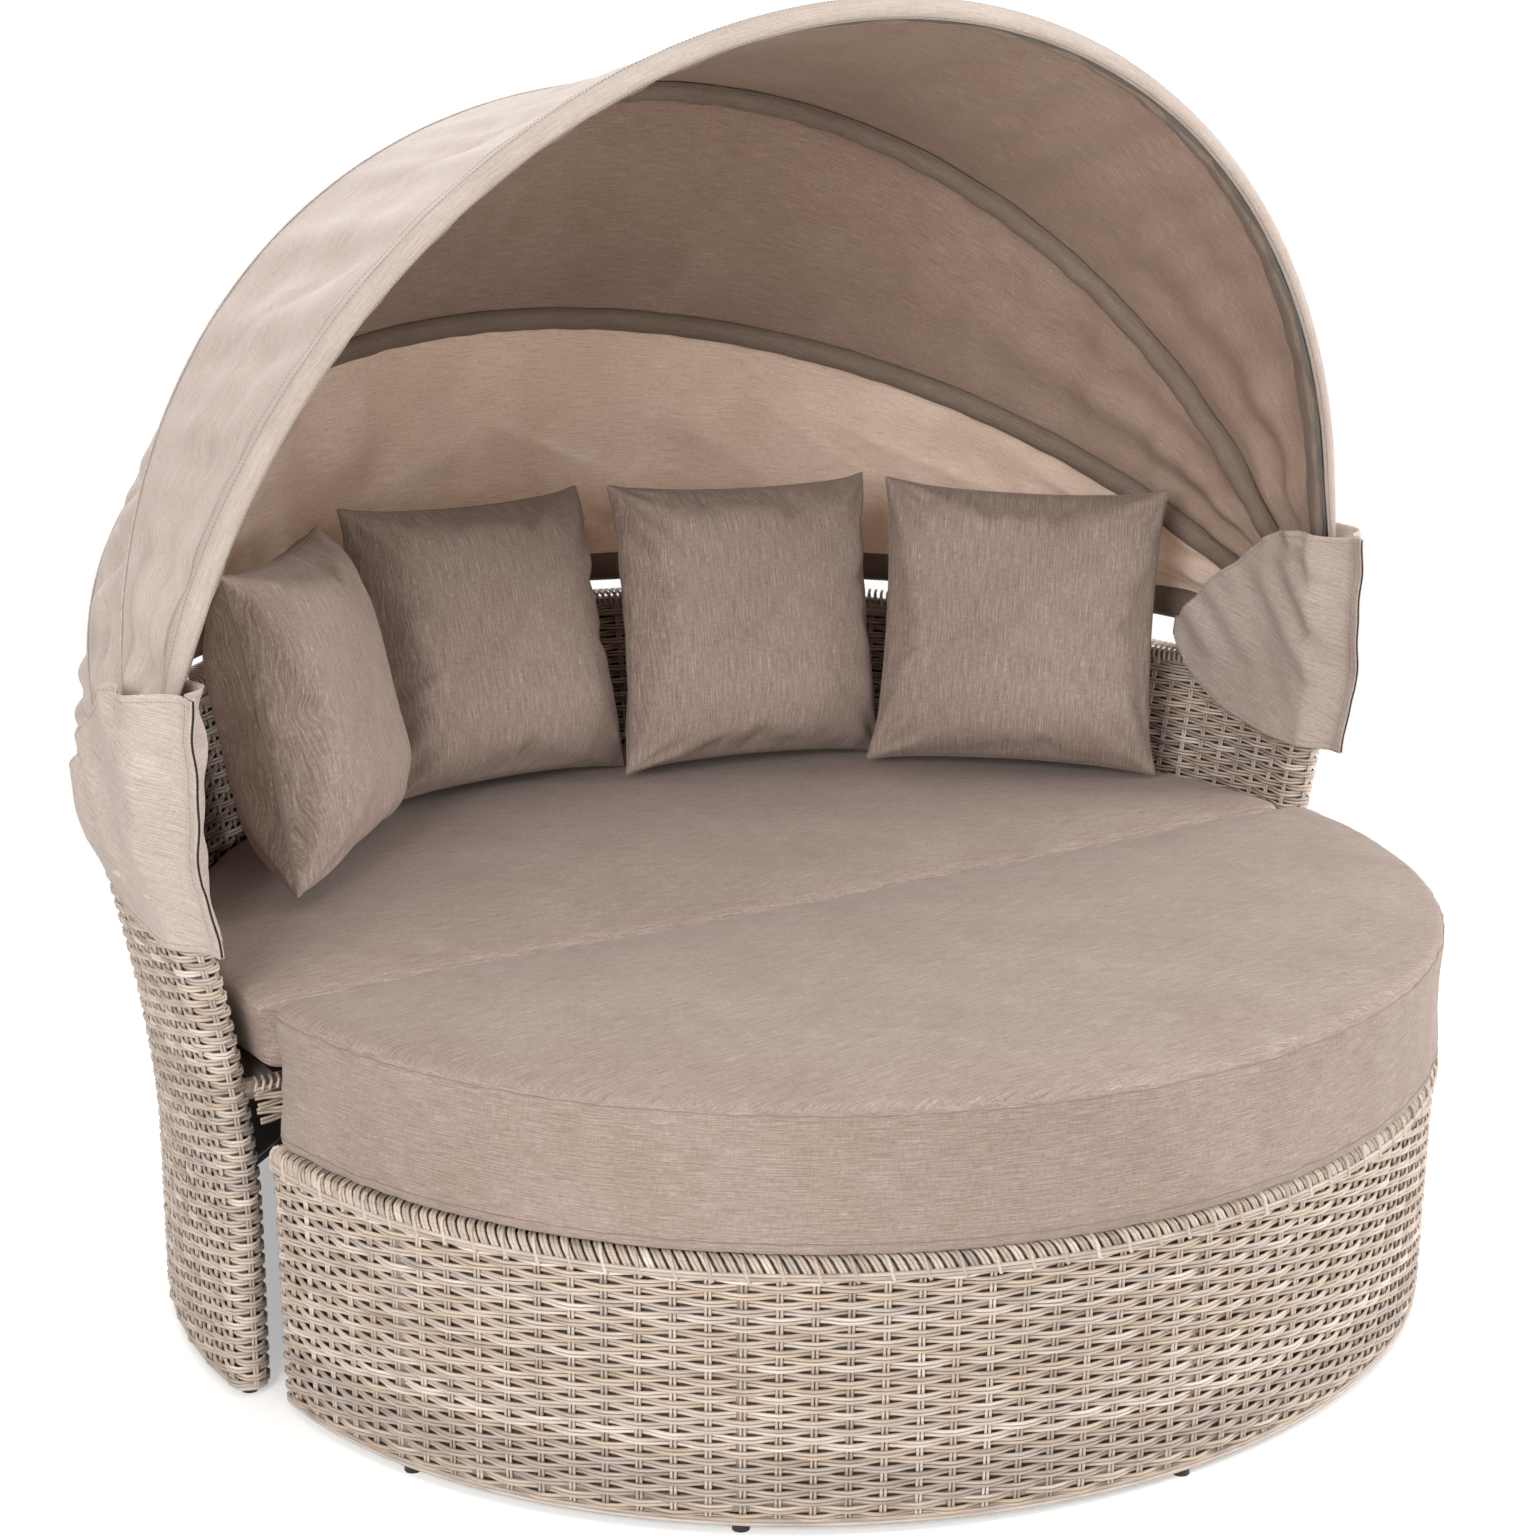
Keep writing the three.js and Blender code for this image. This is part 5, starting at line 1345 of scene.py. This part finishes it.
def build_bow_seam(index):
    """The sewn joint of two panels shows outside as a thin ridge along the bow."""
    name, body, _, _ = BOWS[index]
    ridge = bow_point(index, arch_turns(240, BOW_SEAM_START), CLOTH_LIFT + CLOTH + BOW_SEAM_LIFT, 0)
    seam = strands(name + "_seam", [(ridge, False, 0.5)], body, BOW_SEAM_RADIUS, 6, CANOPY_CLOTH)
    lay_uv(seam.data, mesh_points(seam.data)[corner_points(seam.data)][:, :2])
    return seam


# The front hem: flat on the panel, then round the front bow. Sizes with END are those at the pivots
HEM_START = 0.075
HEM_WIDTH = 0.034
HEM_END_WIDTH = 0.012
HEM_RADIUS = 0.0125
HEM_END_RADIUS = 0.006
HEM_END_SHIFT = 0.010
HEM_LIFT = 0.0012
HEM_TURN = (90, -40, 9)
HEM_MEASURED = 100
HEM_STITCH = (0.005, 0.0032, 0.0005)


def front_hem():
    """The front hem folds over the front bow, from the panel's edge round to the pocket."""
    flat_share = np.linspace(1, 0, 4, endpoint=False)
    half_gap = math.radians(BOWS[0][2] - BOWS[1][2]) / 2
    angle = np.radians(np.linspace(*HEM_TURN))
    outer, inner = [], []
    for turn in arch_turns(240, HEM_START):
        full = widened(turn)
        width = mix(HEM_END_WIDTH, HEM_WIDTH, full)
        radius = mix(HEM_END_RADIUS, HEM_RADIUS, full)
        for grid, lift in ((outer, CLOTH), (inner, 0)):
            level = CLOTH_LIFT + CLOTH + HEM_LIFT + lift
            shares = flat_share * width / (2 * CANOPY_REACH * math.sin(turn) * math.sin(half_gap))
            flat = panel_point(0, shares, np.full(len(shares), turn), level)
            outward = (level - radius) + radius * np.sin(angle) + lift * 0.5 * (np.sin(angle) - 1)
            across = (radius * 1.25 + lift) * np.cos(angle) + mix(HEM_END_SHIFT, 0.0, full)
            curve = bow_point(0, np.full(len(across), turn), outward, across)
            grid.append(np.concatenate([flat, curve]))
    outer, inner = np.stack(outer), np.stack(inner)
    along, width = arc_length(outer[:, 4]), arc_length(outer[HEM_MEASURED])
    uv = np.stack(np.meshgrid(along, width, indexing="ij"), -1)
    piece = carry(sheet_piece("front_hem", outer, inner, uv, [HEM_TWILL]), "front_bow")
    rows = [(outer[:, column], False, 0.5) for column in (1, 4, -2)]
    return [piece, stitches("front_hem_stitches", rows, "front_bow", *HEM_STITCH)]


def build_canopy():
    for index in range(len(BOWS)):
        build_pocket(index)
    seams = {index: build_bow_seam(index) for index in (1, 2)}
    hem = front_hem()
    for name, front in PANELS:
        piece, flat, area = build_panel(name, front)


# Ears: lobes of two leaves over the arms' tops, closed along the front. Reaches are from the split
EAR_FRONT = -0.032
EAR_REACH = 0.285
EAR_TOP_REACH = 0.096
EAR_TIP_REACH = 0.034
EAR_WIDEST = PIVOT_Z
EAR_BOTTOM = EAR_WIDEST - 0.128
EAR_TOP = EAR_WIDEST + 0.168
EAR_END_HALF = 0.012
EAR_HUG_TOP = ARM_HEIGHT - 0.050
EAR_REST = 0.0015
EAR_OPENING = 0.050
EAR_RIPPLE = 0.005
EAR_TOP_WAVE = 0.0022
EAR_FOLD = 0.0028
EAR_FOLDS_GROW = 0.04
EAR_PLEAT = 0.0062
EAR_PLEAT_HEIGHT = 0.095
EAR_WAVE_FADES = 0.07
EAR_STITCH = (0.005, 0.0032, 0.0004)
TAPE_WIDTH = 0.018
TAPE_HALF = 0.0008
TAPE_WAVES = (0.0016, 0.0010)
TAPE_GAP = 0.0002
TAPE_AHEAD = 0.0008
TAPE_INSET = 0.001
TAPE_SHORTER = 0.002
# Leaf, side of the arm, distance from it, and how far it flares at the top
LEAVES = [("ear_outer", 1, 0.0015, 0.009), ("ear_inner", -1, 0.0025, 0.005)]


def tape_wave(z):
    """The closed front edge waves a little sideways."""
    return TAPE_WAVES[0] * np.sin(47 * z + 1) + TAPE_WAVES[1] * np.sin(95 * z)


def ear_low(y):
    share = np.clip((y - EAR_TIP_REACH) / (EAR_REACH - EAR_TIP_REACH), 0, 1)
    return np.minimum(mix(EAR_WIDEST, EAR_BOTTOM, np.sqrt(1 - share**2)), EAR_WIDEST - EAR_END_HALF)


def ear_high(y):
    share = np.clip((EAR_REACH - y) / (EAR_REACH - EAR_TOP_REACH), 0, 1)
    return np.maximum(mix(EAR_WIDEST, EAR_TOP, share**0.77), EAR_WIDEST + EAR_END_HALF)


def ear_grid(rest, flare, seed):
    """The middle surface of a leaf, and how far it lies from the arm's middle."""
    local = np.random.default_rng(seed)
    y = np.linspace(EAR_FRONT, EAR_REACH, 96)[:, None]
    share = np.linspace(0, 1, 72)[None, :]
    z = mix(ear_low(y), ear_high(y), share) + EAR_TOP_WAVE * np.sin(75 * y + seed) * share**5
    past_tape = y - EAR_FRONT - TAPE_WIDTH
    open_share = smooth(past_tape / EAR_OPENING)
    rise = smooth((z - EAR_HUG_TOP) / (EAR_WIDEST - EAR_HUG_TOP))
    ripple = EAR_RIPPLE * (1 - np.cos(4 * math.pi * (y - EAR_FRONT) / (EAR_REACH - EAR_FRONT))) / 2
    closed = TAPE_HALF + TAPE_GAP + CLOTH / 2
    lying = WALL_HALF + rest + EAR_REST
    away = mix(closed, lying + (flare + ripple) * rise, open_share)
    folds = np.zeros_like(away)
    for _ in range(5):
        slant = local.uniform(0.5, 1.2)
        pitch = local.uniform(50, 105)
        phase = local.uniform(0, 6.28)
        folds += np.sin(pitch * (y + slant * (EAR_TOP - z)) + phase) * local.uniform(0.4, 1)
    depth = EAR_FOLD * smooth(past_tape / EAR_FOLDS_GROW) * mix(0.3, 1, rise)
    # The top is gathered towards the bows, so it stands out in upright pleats
    pleats = (1 + np.sin(128 * y + 1.6 * np.sin(11 * z) + seed)) / 2
    near_top = smooth((z - EAR_TOP + EAR_PLEAT_HEIGHT) / EAR_PLEAT_HEIGHT) * open_share
    away = away + folds * depth + EAR_PLEAT * pleats * near_top
    return y + 0 * away, z, away


def ear_place(y, z, away, side):
    """A point beside an arm, a distance outward from the arm's middle."""
    radius = wall_radius(np.minimum(z, ARM_HEIGHT)) - WALL_HALF + away
    x = np.sqrt(radius**2 - (y + SPLIT_Y - WALL_Y) ** 2)
    return np.stack([side * x, y + SPLIT_Y, z], -1)


def build_leaf(leaf, sign, rest, flare, side, label, seed):
    y, z, away = ear_grid(rest, flare, seed)
    wave = sign * tape_wave(z) * (1 - smooth((y - EAR_FRONT) / EAR_WAVE_FADES))
    outer, inner = (ear_place(y, z, sign * (away + half + wave), side) for half in (CLOTH / 2, -CLOTH / 2))
    uv = np.stack([y * 0.9 + z * 0.35, z - 0.35 * y], -1)
    piece = carry(sheet_piece(f"{leaf}_leaf_{label}", outer, inner, uv, [CANOPY_CLOTH]), "sofa")
    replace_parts(piece, f"{leaf}_{label}")
    hem = [(line, False, 0.5) for line in (outer[1:-1, 2], outer[1:-1, -3], outer[4, 2:-2])]
    stitch = stitches(f"{leaf}_stitches_{label}", hem, "sofa", *EAR_STITCH)


def build_touch_strip(side, label):
    """Hook and loop tapes pressed together between the two leaves, along their front edge."""
    z = np.linspace(EAR_BOTTOM + TAPE_SHORTER, EAR_TOP - TAPE_SHORTER, 60)
    y = np.linspace(EAR_FRONT - TAPE_AHEAD, EAR_FRONT + TAPE_WIDTH - TAPE_INSET, 5)
    z, y = np.meshgrid(z, y, indexing="ij")
    outer, inner = (ear_place(y, z, half + tape_wave(z), side) for half in (TAPE_HALF, -TAPE_HALF))
    piece = sheet_piece(f"touch_tape_{label}", outer, inner, np.stack([z, y], -1), [TOUCH_TAPE])
    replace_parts(carry(piece, "sofa"), f"touch_strip_{label}")


def build_ears():
    for side, label in ((-1, "left"), (1, "right")):
        for number, leaf in enumerate(LEAVES):
            build_leaf(*leaf, side, label, 20 + number * 2 + (side > 0))
        build_touch_strip(side, label)


# CAD solids that stay, by the slot their record gives
def finish_cad_nodes():
    finishes = {
        "frame_tube": FRAME_TUBE,
        "bow_tube": BOW_TUBE,
        "zinc_steel": ZINC,
        "black_plastic": BLACK_PLASTIC,
        "slat_wood": SLAT_WOOD,
    }
    for part in frame["record"]["subparts"]:
        finish = finishes.get(part["material_slot"])
        node = frame["nodes"].get(part["node"])
        if finish and node:
            for slot in node.material_slots:
                slot.material = finish


# Stage
WHITE = (1, 1, 1, 1)
FLOOR_REACH = 30
FLOOR_GLOW = 0.42
FLOOR_FADE = {"From Min": 1.15, "From Max": 1.9}
SOFT_LIGHT = {"Color": (1, 0.99, 0.98, 1), "Strength": 0.3}
# Name, place, target, size and power
LAMPS = [
    ("window_left", (-4.2, -3.2, 2.6), (0, 0, 0.6), 2.0, 190),
    ("window_right", (4.6, -2.4, 2.4), (0, 0, 0.5), 2.0, 215),
    ("front_panel", (-1.0, -11.5, 3.0), (0, 0.6, 0.9), 3.4, 190),
    ("sky_panel", (0, -0.6, 5.2), (0, 0, 0.5), 3.6, 115),
    ("back_panel", (0.5, 4.4, 2.8), (0, 0.6, 1.0), 2.6, 150),
]
# The camera as the photograph gave it: its turn and rise in degrees, and its lens in pixels of the picture
CAMERA_TURN = -32.90
CAMERA_RISE = 15.47
CAMERA_DISTANCE = 4.048
CAMERA_TARGET = Vector((0.0018, SPLIT_Y + 0.1426, 0.5799))
PICTURE_PIXELS = 1536
LENS_PIXELS = 3161
SHIFT_PIXELS = 31.2
SENSOR_WIDTH = 36


def seen_by(tree, *rays):
    """1 for the given kinds of ray and 0 for all others."""
    path = put(tree, "ShaderNodeLightPath").outputs
    seen = path[rays[0]]
    for ray in rays[1:]:
        seen = result(tree, "ShaderNodeMath", {"operation": "MAXIMUM"}, {0: seen, 1: path[ray]})
    return seen


def build_floor():
    mesh = bpy.data.meshes.new("studio_floor")
    corners = [(x * FLOOR_REACH, y * FLOOR_REACH, 0) for x, y in ((-1, -1), (1, -1), (1, 1), (-1, 1))]
    mesh.from_pydata(corners, [], [(0, 1, 2, 3)])
    floor = link(bpy.data.objects.new("studio_floor", mesh))
    material, tree = new_material("painted_studio_floor")
    seen = seen_by(tree, "Is Camera Ray", "Is Glossy Ray", "Is Transmission Ray")
    strength = result(tree, "ShaderNodeMath", {"operation": "MULTIPLY", 1: FLOOR_GLOW}, {0: seen})
    matt = result(tree, "ShaderNodeBsdfDiffuse", {"Color": linear("#e8e6e3")})
    glow = result(tree, "ShaderNodeEmission", {"Color": WHITE}, {"Strength": strength})
    near = result(tree, "ShaderNodeAddShader", links={0: matt, 1: glow})
    # Away from the daybed the floor turns to the white of the backdrop
    place = put(tree, "ShaderNodeTexCoord").outputs["Object"]
    distance = put(tree, "ShaderNodeVectorMath", {"operation": "LENGTH"}, {0: place}).outputs["Value"]
    settings = {"interpolation_type": "SMOOTHSTEP", **FLOOR_FADE}
    away = result(tree, "ShaderNodeMapRange", settings, {"Value": distance})
    far_share = result(tree, "ShaderNodeMath", {"operation": "MULTIPLY"}, {0: away, 1: seen})
    white = result(tree, "ShaderNodeEmission", {"Color": WHITE, "Strength": 1})
    close_material(tree, result(tree, "ShaderNodeMixShader", links={0: far_share, 1: near, 2: white}))
    mesh.materials.append(material)


def build_world():
    world = bpy.data.worlds.new("soft_studio")
    scene.world = world
    world.use_nodes = True
    tree = world.node_tree
    tree.nodes.clear()
    seen = seen_by(tree, "Is Camera Ray", "Is Glossy Ray")
    soft = result(tree, "ShaderNodeBackground", SOFT_LIGHT)
    white = result(tree, "ShaderNodeBackground", {"Color": WHITE, "Strength": 1.0})
    chosen = result(tree, "ShaderNodeMixShader", links={0: seen, 1: soft, 2: white})
    put(tree, "ShaderNodeOutputWorld", links={"Surface": chosen})


def aim(thing, place, direction):
    thing.location = place
    thing.rotation_mode = "QUATERNION"
    thing.rotation_quaternion = direction.to_track_quat("-Z", "Y")


def add_lamp(name, place, target, size, power):
    data = bpy.data.lights.new(name, "AREA")
    data.shape = "SQUARE"
    data.size = size
    data.energy = power
    aim(link(bpy.data.objects.new(name, data)), place, Vector(target) - Vector(place))


def build_camera():
    turn, rise = math.radians(CAMERA_TURN), math.radians(CAMERA_RISE)
    back = Vector((math.sin(turn) * math.cos(rise), -math.cos(turn) * math.cos(rise), math.sin(rise)))
    data = bpy.data.cameras.new("photo_camera")
    data.sensor_width = SENSOR_WIDTH
    data.lens = LENS_PIXELS / PICTURE_PIXELS * SENSOR_WIDTH
    data.shift_y = SHIFT_PIXELS / PICTURE_PIXELS
    scene.camera = link(bpy.data.objects.new("photo_camera", data))
    aim(scene.camera, CAMERA_TARGET + back * CAMERA_DISTANCE, -back)


build_sofa_weave()
wall_lining()
build_sofa_rim()
build_ottoman_weave()
ottoman_lining()
build_ottoman_rim()
build_apron()
seat = boxed_cushion("seat_cushion_cover", seat_shape, SEAT_BOTTOM, SEAT_TOP, "sofa")
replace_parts(seat, "seat_cushion")
deep = boxed_cushion(
    "ottoman_cushion_cover", ottoman_cushion_shape, OTTOMAN_CUSHION_BOTTOM, OTTOMAN_CUSHION_TOP, "ottoman"
)
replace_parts(deep, "ottoman_cushion")
for seed, row in enumerate(PILLOWS, 11):
    build_pillow(*row, seed)
build_canopy()
build_ears()
finish_cad_nodes()

build_floor()
build_world()
for lamp in LAMPS:
    add_lamp(*lamp)
build_camera()
scene.view_settings.view_transform = "Standard"
